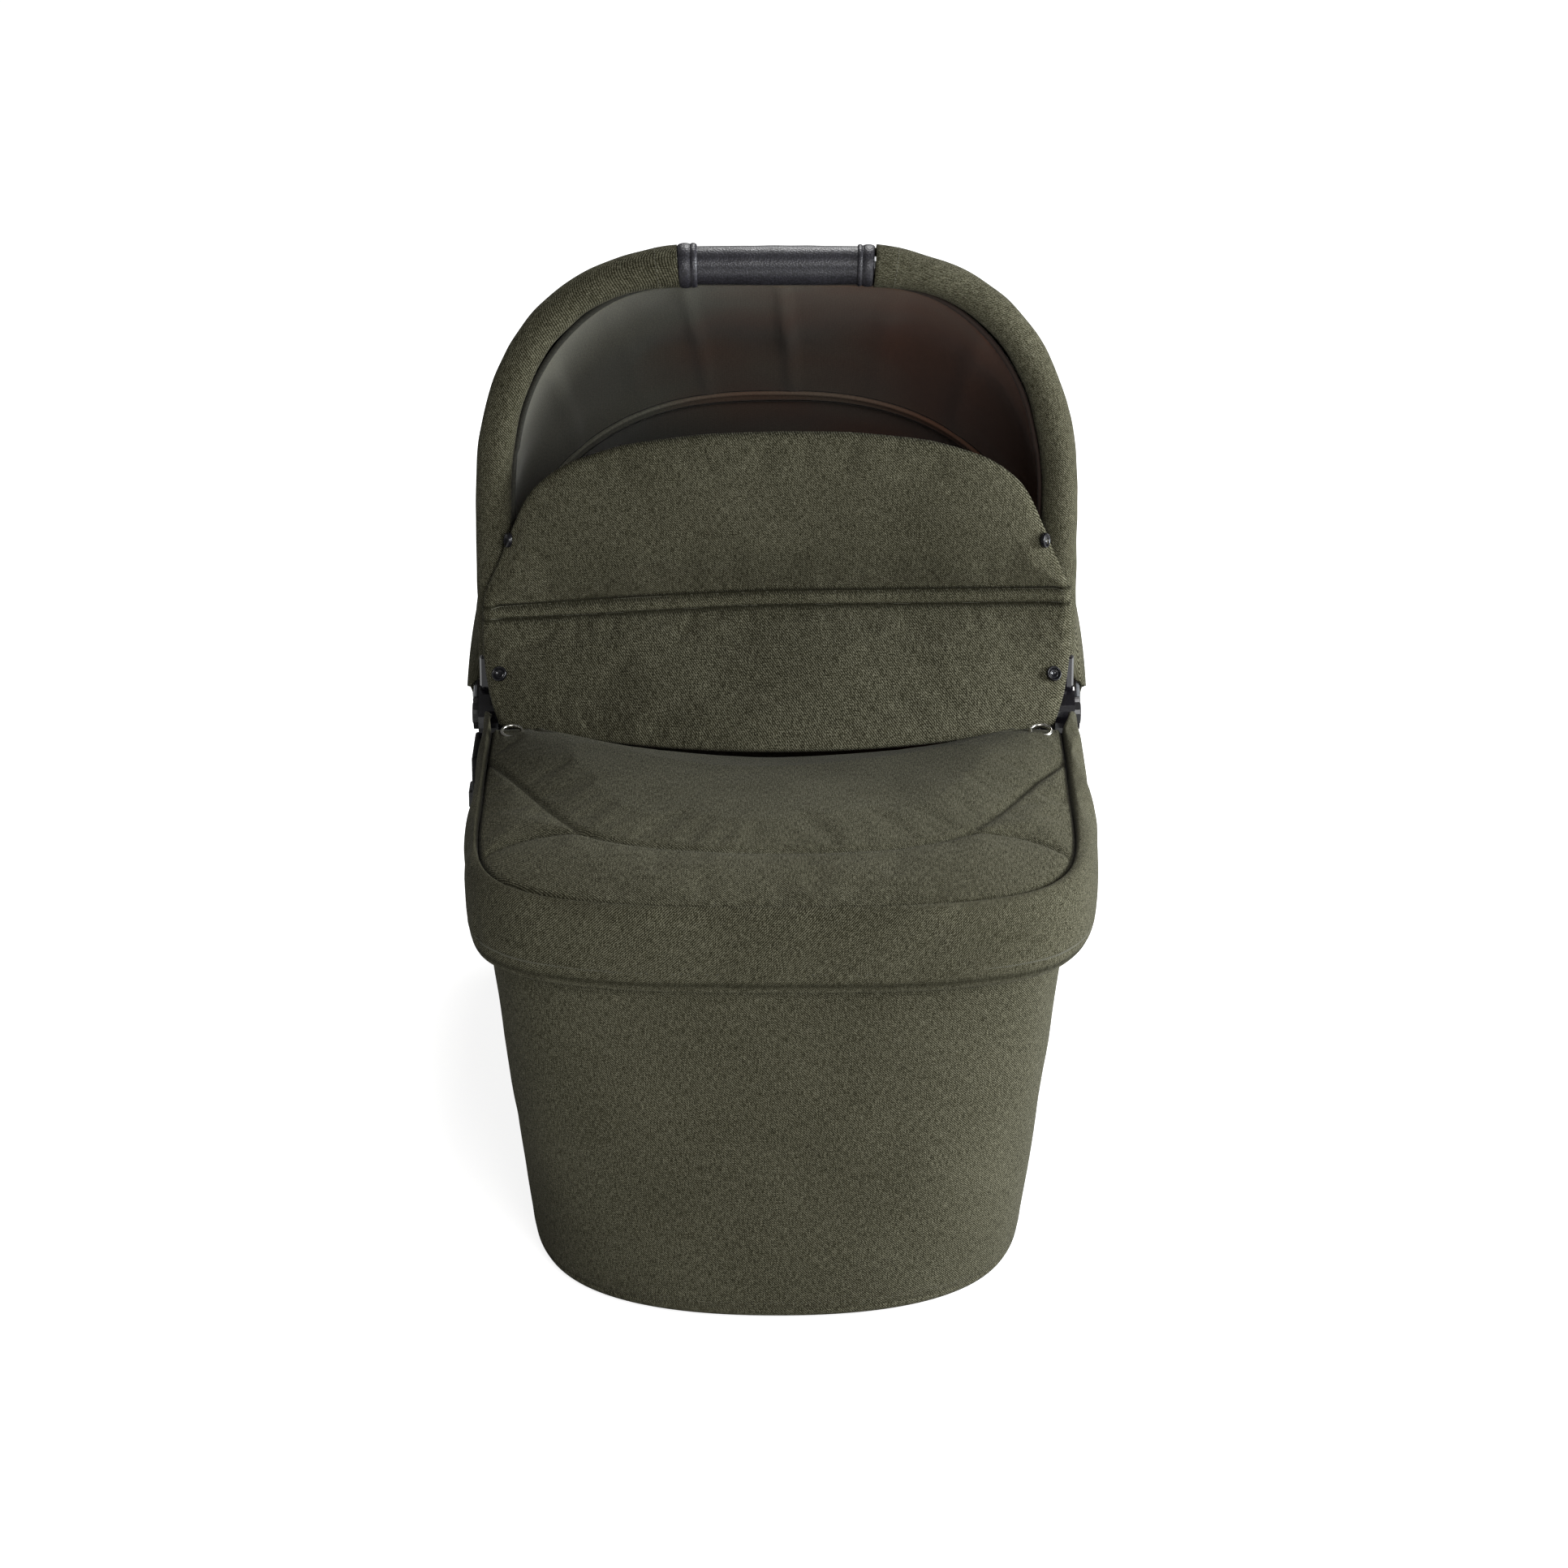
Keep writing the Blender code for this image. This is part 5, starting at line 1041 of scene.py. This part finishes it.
# The middle of the curved seam is sewn loosely, so that it hardly sinks there.
firm = mix(0.30, 1.0, part_way(np.abs(top[:, :, 0]), *LOOSE_MIDDLE))
sink = GROOVE * firm * np.exp(-(to_seam / 0.0023) ** 1.3)
sink += GROOVE * 0.8 * np.exp(-(to_dart / 0.0021) ** 1.3)
sink += EDGE_GROOVE * np.exp(-(to_edge / 0.0017) ** 1.2)
sink += REAR_GROOVE * np.exp(-(to_rear / 0.0042) ** 1.6)
near = np.minimum(np.minimum(to_seam / firm, to_edge), to_dart)
top[:, :, 2] += PUFF * (1 - np.exp(-near / 0.016)) * (1 - np.exp(-to_rear / 0.010)) - sink
up = np.zeros_like(top)
up[:, :, 2] = part_way(np.minimum(to_edge, to_rear), 0.0, 0.02)
top = waves(top, up, depth=0.0012, size=0.090, seed=61.0)
top = waves(top, up, depth=0.0003, size=0.022, seed=63.0)

# The skirt is rows of (share of the way out, height), from the sewn groove over the padded
# shoulder and down to the hem, which tucks in against the tub.
SKIRT_SHAPE = ((0.00, 0.3195), (0.05, 0.3219), (0.14, 0.3238), (0.30, 0.3249), (0.50, 0.3242),
               (0.71, 0.3210), (0.88, 0.3156), (0.97, 0.3090), (1.00, 0.3010), (1.01, 0.2930),
               (1.00, 0.2860), (0.96, 0.2785), (0.88, 0.2725), (0.76, 0.2680), (0.60, 0.2652),
               (0.40, 0.2643), (0.15, 0.2648), (-0.06, 0.2665))
# How far the skirt stands out beside and in front of the sewn edge, and where it ends.
SKIRT_OUT = (0.0112, 0.0075)
SKIRT_END = 0.036
SKIRT_SEAM_ROW = -19
# Bulges of the side padding, as (x, y, z, depth, size), and a pressed pleat at the left corner.
SKIRT_BULGES = ((-0.215, -0.125, 0.292, 0.0024, 0.018), (-0.215, -0.245, 0.288, 0.0026, 0.028),
                (0.215, -0.230, 0.290, 0.0032, 0.036))
PLEAT = (-0.2005, -0.386)


def skirt_outline(share):
    """The plan of a row of the skirt, a little fuller on the right; its rear corners run on."""
    outer = arch(APRON_HALF_WIDTH + SKIRT_OUT[0], APRON_HALF_LENGTH + SKIRT_OUT[1], RIM_POWERS,
                 SKIRT_END, APRON_COLUMNS) * np.array([1.0, -1.0])
    outer[:, 0] += 0.0028 * np.clip(outer[:, 0] / 0.15, -1.0, 1.0) ** 2
    return mix(sewn_edge, outer, share)


steps = through(SKIRT_SHAPE, 3)
skirt = np.array([[(x, y, height) for x, y in skirt_outline(share)] for share, height in steps])
skirt_out = grid_normals(skirt, (0.0, -0.2, 0.29))
# It hangs loose between the sewn edge and the hem, and stays taut in the rows beside both.
body = np.clip(np.sin(math.pi * part_way(steps[:, 0], 0.2, 1.1)) + 0.35, 0.0, 1.0)
body[:7] = 0.0
body[-8:] *= np.linspace(1.0, 0.0, 8)
folds = skirt_out * np.array([1.0, 1.0, 0.2]) * body[:, None, None]
skirt = waves(skirt, folds, depth=0.0022, size=0.065, seed=71.0)
skirt = waves(skirt, folds, depth=0.0006, size=0.022, seed=73.0)
for x, y, z, depth, size in SKIRT_BULGES:
    gap = np.linalg.norm(skirt - np.array([x, y, z]), axis=2)
    skirt += skirt_out * (depth * np.exp(-(gap / size) ** 2))[:, :, None]
gap = np.linalg.norm(skirt[:, :, :2] - np.array(PLEAT), axis=2)
tall = np.exp(-((skirt[:, :, 2] - 0.287) / 0.014) ** 4)
skirt -= skirt_out * (0.0020 * tall * np.exp(-(gap / 0.0030) ** 2))[:, :, None]
apron = piece_of("apron_cover", sewn((0.0, -0.25, 0.27), [top, top[:, :, :2]], [skirt]))


def nearness(piece, lines, axes):
    """Each point of a piece, and its distance to sewn lines in a plane of two axes."""
    spots = np.array([point.co for point in piece.data.vertices])
    return spots, np.min([away(spots[None][:, :, axes], line) for line in lines], axis=0)[0]


def held_along(piece, lines, reach, axes, also):
    """Numbers of the points near sewn lines in a plane of two axes, or where also holds."""
    spots, near = nearness(piece, lines, axes)
    return [int(k) for k in np.nonzero((near < reach) | also(spots))[0]]


def paint_crease_shade(piece, depths):
    """Note how deep in sewn creases each point lies, from 0 to 1, for the twill's painted shade."""
    painted_crease_shade = piece.data.attributes.new("painted_crease_shade", "FLOAT", "POINT")
    painted_crease_shade.data.foreach_set("value", np.clip(depths, 0.0, 1.0))


# The groove round the top is creased tight, and the hem is turned under along its stitches; the
# groove, the quilting seams and a band at the hem's fold get painted shade.
quilting = [seam_line, dart, other_dart]
spots, near = nearness(apron, [edge_line], [0, 1])
_, near_seam = nearness(apron, quilting, [0, 1])
tight = mix(0.15, 0.55, part_way(np.abs(spots[:, 0]), *LOOSE_MIDDLE))
groove_shade = np.where(spots[:, 2] > 0.300, np.maximum(
    np.exp(-(near / 0.0020) ** 2), tight * np.exp(-(near_seam / 0.0024) ** 2)), 0.0)
under = np.where(spots[:, 2] < 0.290, np.exp(-((spots[:, 2] - 0.2700) / 0.0022) ** 2), 0.0)
paint_crease_shade(apron, np.maximum(groove_shade, 0.8 * under))
# The wadding blows the cover up between its seams, its edge and its hem.
held = held_along(apron, quilting + [edge_line, rear_line], reach=0.0030, axes=[0, 1],
                  also=lambda spot: (spot[:, 2] < 0.272) | (spot[:, 1] > -0.060))
settle(apron, held, pressure=3.0, growth=0.002, cap=0.0024, bending=4.0)
walled(apron, APRON_THICKNESS)
finish_cloth(apron, olive_twill)
apply_all(apron)
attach(apron, "rim")
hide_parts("apron")
hem_line, hem_out = skirt[SKIRT_SEAM_ROW], skirt_out[SKIRT_SEAM_ROW]
hem_seam = stitches("apron_hem_stitches", hem_line + hem_out * 0.0001, hem_out, pitch=0.0030,
                    slant=0.60, size=(0.0016, 0.00048, 0.0004))
finish_cloth(hem_seam, thread)
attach(hem_seam, "rim")

# Press studs on the apron. Two rings of pressed steel, nickel plated, one on each rear
# corner: each is a rolled band whose rear stands out of the wadding and whose front sinks in.
RING_PROFILE = ((0.0064, -0.0016), (0.0065, 0.0002), (0.0069, 0.0009), (0.0075, 0.0011),
                (0.0081, 0.0008), (0.0085, 0.0001), (0.0086, -0.0016))
RING_FACING = (0.0, -0.22, 1.0)
# A ring lies this far out and to the foot end of its solid, on the padding.
RING_SHIFT = (0.002, -0.008)


def stud(name, profile, centre, normal):
    """A stud turned from a profile of (radius, height), set on the cloth along its normal."""
    shape = bmesh.new()
    line = [shape.verts.new((radius, 0.0, height)) for radius, height in profile]
    edges = [shape.edges.new(pair) for pair in zip(line, line[1:])]
    if profile[0][0] > 0:
        edges.append(shape.edges.new((line[-1], line[0])))
    bmesh.ops.spin(shape, geom=line + edges, cent=(0.0, 0.0, 0.0), axis=(0.0, 0.0, 1.0),
                   angle=2 * math.pi, steps=32, use_merge=True)
    bmesh.ops.remove_doubles(shape, verts=shape.verts, dist=0.00001)
    bmesh.ops.recalc_face_normals(shape, faces=shape.faces)
    turned = Vector(normal).normalized().to_track_quat("Z", "Y").to_matrix().to_4x4()
    bmesh.ops.transform(shape, matrix=Matrix.Translation(Vector(centre)) @ turned,
                        verts=shape.verts)
    return piece_of(name, shape)


def cloth_level(piece, centre, axes, level):
    """The levels on one axis of the cloth within 5 mm of a point in a plane of two axes."""
    cloth = np.array([point.co for point in piece.data.vertices])
    under = np.linalg.norm(cloth[:, axes] - np.array(centre)[axes], axis=1) < 0.005
    return cloth[under, level]


# Nickel plate is bright with a warm, faintly yellow cast.
stud_steel = hard_finish("nickel_plated_steel", "#b4b2aa", "#d4d2ca", grain=0.0012,
                         roughness=(0.22, 0.34), depth=0.00001, constants={"Metallic": 1.0})
for side, across in SIDES:
    low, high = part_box("apron_snap_" + side)
    centre = (low + high) / 2
    centre += Vector((across * RING_SHIFT[0], RING_SHIFT[1], 0.0))
    centre.z = cloth_level(apron, centre, [0, 1], 2).max() + 0.0002
    ring_piece = stud("apron_stud_" + side, RING_PROFILE, centre, RING_FACING)
    finish_cloth(ring_piece, stud_steel)
    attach(ring_piece, "rim")
    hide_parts("apron_snap_" + side)

# Wind flap. A padded panel of twill on both faces that stands up in front of the opening,
# quilted by two close seams on which it folds, and sewn to the apron along its lower edge.
FLAP_BOTTOM = 0.3180
FLAP_SEAM = 0.397
FLAP_SEAM_REACH = 0.21
SEAM_DROOP = 0.0105
SEAM_RISE = 0.002
# Half the distance between the two seams, at the left and at the right.
SEAM_SPREAD = (0.0042, 0.0054)
# How far the panel leans back up to its seam and above it, and bows forward at its foot.
FLAP_FOOT_Y = -0.070
FLAP_LEAN = (0.049, 0.009)
FLAP_BOW = 0.062
FLAP_TOP = 0.515
FLAP_HALF_WIDTH = 0.2125
FLAP_THICKNESS = 0.0095
FLAP_ROUND = 0.0055
FLAP_PUFF = 0.0062
FLAP_GROOVE = 0.0042
FLAP_COLUMNS = 181
LOWER_ROW, UPPER_ROW = 40, 48
# Half width at heights below the seam, from the corner that hides behind the apron.
FLAP_SIDES = ((0.318, 0.1990), (0.326, 0.2030), (0.336, 0.2068), (0.348, 0.2095), (0.362, 0.2118),
              (0.375, 0.2125), (0.391, 0.2125))
# The top edge as (distance from the middle, height); it steps in above each side seam.
FLAP_EDGE = ((0.0, 0.5188), (0.045, 0.5178), (0.070, 0.5157), (0.104, 0.5115), (0.121, 0.5076),
             (0.135, 0.5032), (0.148, 0.4985), (0.159, 0.4925), (0.168, 0.4858), (0.1760, 0.4780),
             (0.1820, 0.4690), (0.1870, 0.4585), (0.1915, 0.4480), (0.1955, 0.4385),
             (0.1995, 0.4280), (0.2060, 0.4140), (0.2105, 0.4030), (0.2125, 0.3960))
# Short puckers hang from the lower seam and gathers rise from the bottom edge, at (x, depth).
PUCKERS = ((-0.146, 0.0016), (-0.137, 0.0018), (-0.118, 0.0010), (-0.062, 0.0008),
           (-0.020, 0.0007), (0.034, 0.0006), (0.090, 0.0007), (0.140, 0.0008))
GATHERS = ((-0.148, 0.0010), (-0.128, 0.0022), (-0.117, 0.0024), (-0.106, 0.0012),
           (-0.088, 0.0020), (-0.080, 0.0020), (-0.066, 0.0012), (-0.042, 0.0010),
           (0.060, 0.0006))


def flap_edge(x):
    """Height of the top edge, which rises a little to the right."""
    distance, height = smooth_line(FLAP_EDGE, 200).T
    return np.interp(np.abs(x), distance, height) + 0.0030 * x / 0.2


def flap_seams(x):
    """Heights of the lower and the upper seam at x; both droop to the left."""
    side = np.clip(x / FLAP_SEAM_REACH, -1.0, 1.0)
    droop = SEAM_DROOP * np.maximum(-side, 0.0) ** 1.2 - SEAM_RISE * np.maximum(side, 0.0)
    spread = mix(*SEAM_SPREAD, (1 + x / FLAP_SEAM_REACH) / 2)
    return FLAP_SEAM - droop - spread, FLAP_SEAM - droop + spread


def flap_depth(height, spread):
    """Y of the middle of the padding: it leans back, and bows forward at the bottom."""
    low = part_way(height, FLAP_BOTTOM, FLAP_SEAM)
    high = part_way(height, FLAP_SEAM, FLAP_TOP)
    bow = FLAP_BOW * (1 - low) ** 1.3 * (1 - spread ** 2)
    return FLAP_FOOT_Y + FLAP_LEAN[0] * low ** 0.9 + FLAP_LEAN[1] * high - bow


turn = np.linspace(-1.0, 1.0, FLAP_COLUMNS)
spread = np.sin(turn * math.pi / 2) * 0.55 + turn * 0.45
wide = spread * FLAP_HALF_WIDTH
lower_seam, upper_seam = flap_seams(wide)
top_edge = np.maximum(flap_edge(wide), upper_seam + 0.0002)
# Rows of (x, height) go up to the lower seam, to the upper one and to the top edge.
side_heights, side_widths = np.array(FLAP_SIDES).T
flap_rows = []
for share in 1 - (1 - np.linspace(0.0, 1.0, LOWER_ROW + 1)) ** 1.25:
    x = spread * np.interp(mix(FLAP_BOTTOM, lower_seam, share), side_heights, side_widths)
    flap_rows.append(np.stack([x, mix(FLAP_BOTTOM, flap_seams(x)[0], share)], axis=1))
for share in np.linspace(0.0, 1.0, UPPER_ROW - LOWER_ROW + 1)[1:]:
    flap_rows.append(np.stack([wide, mix(lower_seam, upper_seam, share)], axis=1))
for share in np.linspace(0.0, 1.0, 55)[1:] ** 1.25:
    flap_rows.append(np.stack([wide, mix(upper_seam, top_edge, share)], axis=1))
flat = np.array(flap_rows)
border = np.concatenate([flat[::-1, 0], flat[0, 1:], flat[1:, -1], flat[-1, ::-1][1:]])
to_border = away(flat, border)
to_lower = np.abs(flat[:, :, 1] - flap_seams(flat[:, :, 0])[0])
to_upper = np.abs(flat[:, :, 1] - flap_seams(flat[:, :, 0])[1])
to_sewn = np.minimum(to_lower, to_upper)
row_number = np.arange(len(flat))[:, None]
between = (row_number > LOWER_ROW) & (row_number < UPPER_ROW)
puff = FLAP_PUFF * (1 - np.exp(-np.minimum(to_sewn, to_border) / 0.020))
channel = (row_number - LOWER_ROW) / (UPPER_ROW - LOWER_ROW)
puff = np.where(between, 0.0016 * np.abs(np.sin(math.pi * channel)) ** 0.6, puff)
# The seams fade out from 12 mm to 6 mm before the sides.
seam_firm = part_way(FLAP_HALF_WIDTH - np.abs(flat[:, :, 0]), 0.006, 0.012)
groove = FLAP_GROOVE * seam_firm * np.exp(-(to_sewn / 0.0014) ** 1.3)
below = flat[:, :, 1] < flap_seams(flat[:, :, 0])[0]
for x, depth in PUCKERS:
    lean = flat[:, :, 0] - x - 0.18 * to_lower
    groove += np.where(below, depth * np.exp(-(lean / 0.0032) ** 2 - (to_lower / 0.016) ** 2), 0.0)
for x, depth in GATHERS:
    rise = flat[:, :, 1] - FLAP_BOTTOM
    lean = flat[:, :, 0] - x + 0.7 * rise
    groove += depth * np.exp(-(lean / 0.0030) ** 2 - (rise / 0.018) ** 2)
edge_fade = part_way(to_border, 0.0, FLAP_ROUND)
half_thick = FLAP_THICKNESS / 2 * np.sqrt(1 - (1 - edge_fade) ** 2)
middle_y = flap_depth(flat[:, :, 1], flat[:, :, 0] / FLAP_HALF_WIDTH)
front_y = middle_y - half_thick - (puff - groove) * edge_fade
back_y = middle_y + half_thick + puff * 0.3 * edge_fade
front = np.stack([flat[:, :, 0], front_y, flat[:, :, 1]], axis=2)
back = np.stack([flat[:, :, 0], back_y, flat[:, :, 1]], axis=2)
flap_out = grid_normals(front, (0.0, 0.1, 0.40))
loose = flap_out * part_way(np.minimum(to_border, to_sewn), 0.0, 0.014)[:, :, None]
front = waves(front, loose, depth=0.0020, size=0.070, seed=81.0)
front = waves(front, loose, depth=0.0004, size=0.020, seed=83.0)
flap = piece_of("wind_flap_cover", sewn((0.0, -0.03, 0.40), [front, flat],
                                        [back[:, ::-1], flat[:, ::-1]]))
spots, near = nearness(flap, (flat[LOWER_ROW], flat[UPPER_ROW]), [0, 2])
# The twill gets painted shade along both seams.
paint_crease_shade(flap, np.exp(-(near / 0.0014) ** 2))
held = held_along(flap, (flat[LOWER_ROW], flat[UPPER_ROW], border), reach=0.0016, axes=[0, 2],
                  also=lambda spot: spot[:, 2] < FLAP_BOTTOM + 0.004)
settle(flap, held, pressure=3.0, growth=0.002, cap=0.0024, bending=4.0)
finish_cloth(flap, olive_twill)
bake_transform(flap)
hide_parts("wind_flap")
# Each row of stitches lies in its seam, and stops six columns short of the sides.
inside = slice(6, -6)
for name, row, shift in (("lower", LOWER_ROW, 0.0016), ("upper", UPPER_ROW, -0.0016)):
    seam = stitches("wind_flap_stitches_" + name, beside(front, row, shift)[inside],
                    flap_out[row][inside], pitch=0.0034)
    finish_cloth(seam, thread)
    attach(seam, "wind_flap")

# Press studs on the flap. Four studs moulded in black acetal, each a low dish with a raised
# rim round a hollow middle, snapped through the cloth.
STUD_PROFILE = ((0.0, 0.0002), (0.0020, 0.0002), (0.0025, 0.0010), (0.0031, 0.0011),
                (0.0034, 0.0004), (0.0037, 0.0004), (0.0041, 0.0017), (0.0048, 0.0025),
                (0.0054, 0.0020), (0.0056, 0.0004), (0.0053, -0.0010), (0.0, -0.0010))
# Moulded acetal is slippery and black, with a soft shine.
stud_plastic = hard_finish("moulded_acetal", "#0c0b0f", "#17161b", grain=0.0010,
                           roughness=(0.20, 0.32), depth=0.00002)
# The upper pair sits on the rolled edge of the flap and faces out to the sleeves; each stud
# lies in the foremost of the cloth around it.
for place, outward, aside in (("lower", 0.0, 0.0), ("upper", 0.0030, 1.1)):
    for side, across in SIDES:
        node = "flap_snap_" + place + "_" + side
        low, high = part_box(node)
        centre = (low + high) / 2
        centre.x += across * outward
        gap = np.linalg.norm(flat - np.array([centre.x, centre.z]), axis=2)
        spot = np.unravel_index(np.argmin(gap), gap.shape)
        facing = Vector(flap_out[spot]) + Vector((across * aside, 0.0, 0.0))
        centre.y = np.percentile(cloth_level(flap, centre, [0, 2], 1), 15)
        button = stud("flap_stud_" + place + "_" + side, STUD_PROFILE, centre, facing)
        finish_cloth(button, stud_plastic)
        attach(button, "wind_flap")
        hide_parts(node)

# The studio. A pale floor that runs out of sight, a large soft lamp on the right, weaker ones
# in front and high up behind, and an even white sky.
floor_mesh = bmesh.new()
bmesh.ops.create_grid(floor_mesh, x_segments=1, y_segments=1, size=30.0)
floor = piece_of("studio_floor", floor_mesh)
# White paper is dull; a glow that only the camera sees keeps it as even as the sky.
paper, tree, shader = begin_finish("white_paper", {"Base Color": linear("#e9e9e8"),
                                                   "Roughness": 0.95, "Specular IOR Level": 0.0})
rays = add(tree, "ShaderNodeLightPath", {}, {})
seen = add(tree, "ShaderNodeMath", {"operation": "MULTIPLY"}, {0: rays.outputs["Is Camera Ray"],
                                                              1: 0.84})
glow = add(tree, "ShaderNodeEmission", {}, {"Color": (1.0, 1.0, 1.0, 1.0),
                                            "Strength": seen.outputs["Value"]})
both = add(tree, "ShaderNodeAddShader", {}, {0: shader.outputs["BSDF"], 1: glow.outputs["Emission"]})
tree.links.new(both.outputs["Shader"], tree.nodes["Material Output"].inputs["Surface"])
floor.data.materials.append(paper)


def lamp(name, place, aim, size, watts, tint=(1.0, 1.0, 1.0)):
    """A round soft lamp that faces a point."""
    light = bpy.data.lights.new(name, "AREA")
    light.color = tint
    light.shape = "DISK"
    light.size = size
    light.energy = watts
    made = bpy.data.objects.new(name, light)
    bpy.context.scene.collection.objects.link(made)
    made.location = place
    made.rotation_euler = (Vector(aim) - Vector(place)).to_track_quat("-Z", "Y").to_euler()


lamp("key_lamp", (2.6, -0.32, 0.95), aim=(0.0, -0.1, 0.3), size=1.1, watts=108.0,
     tint=(0.94, 0.97, 1.0))
lamp("front_lamp", (0.9, -3.8, 1.9), aim=(0.0, 0.0, 0.4), size=1.5, watts=84.0)
lamp("back_lamp", (0.3, 1.5, 2.4), aim=(0.0, -0.1, 0.3), size=1.0, watts=42.0)
# The sky is white to the camera and dimmer to all else.
world = bpy.data.worlds.new("even_sky")
bpy.context.scene.world = world
world.use_nodes = True
tree = world.node_tree
sky = tree.nodes["Background"]
rays = add(tree, "ShaderNodeLightPath", {}, {})
plain = add(tree, "ShaderNodeMath", {"operation": "MAXIMUM"},
            {0: rays.outputs["Is Camera Ray"], 1: rays.outputs["Is Transmission Ray"]})
level = add(tree, "ShaderNodeMapRange", {}, {"Value": plain.outputs["Value"],
                                             "To Min": 0.15, "To Max": 1.0})
sky.inputs["Color"].default_value = (1.0, 1.0, 1.0, 1.0)
tree.links.new(level.outputs["Result"], sky.inputs["Strength"])

# The camera stands in front of the foot end, a little above the hood.
lens = bpy.data.cameras.new("camera")
lens.lens = 125.4
lens.sensor_width = 36.0
lens.shift_x = 0.0047
lens.shift_y = -0.0455
eye = bpy.data.objects.new("camera", lens)
bpy.context.scene.collection.objects.link(eye)
eye.location = (0.0, -3.761, 1.6615)
eye.rotation_euler = (Vector((0.0, 0.0, 0.30)) - eye.location).to_track_quat("-Z", "Y").to_euler()
bpy.context.scene.camera = eye
bpy.context.scene.view_settings.view_transform = "Standard"
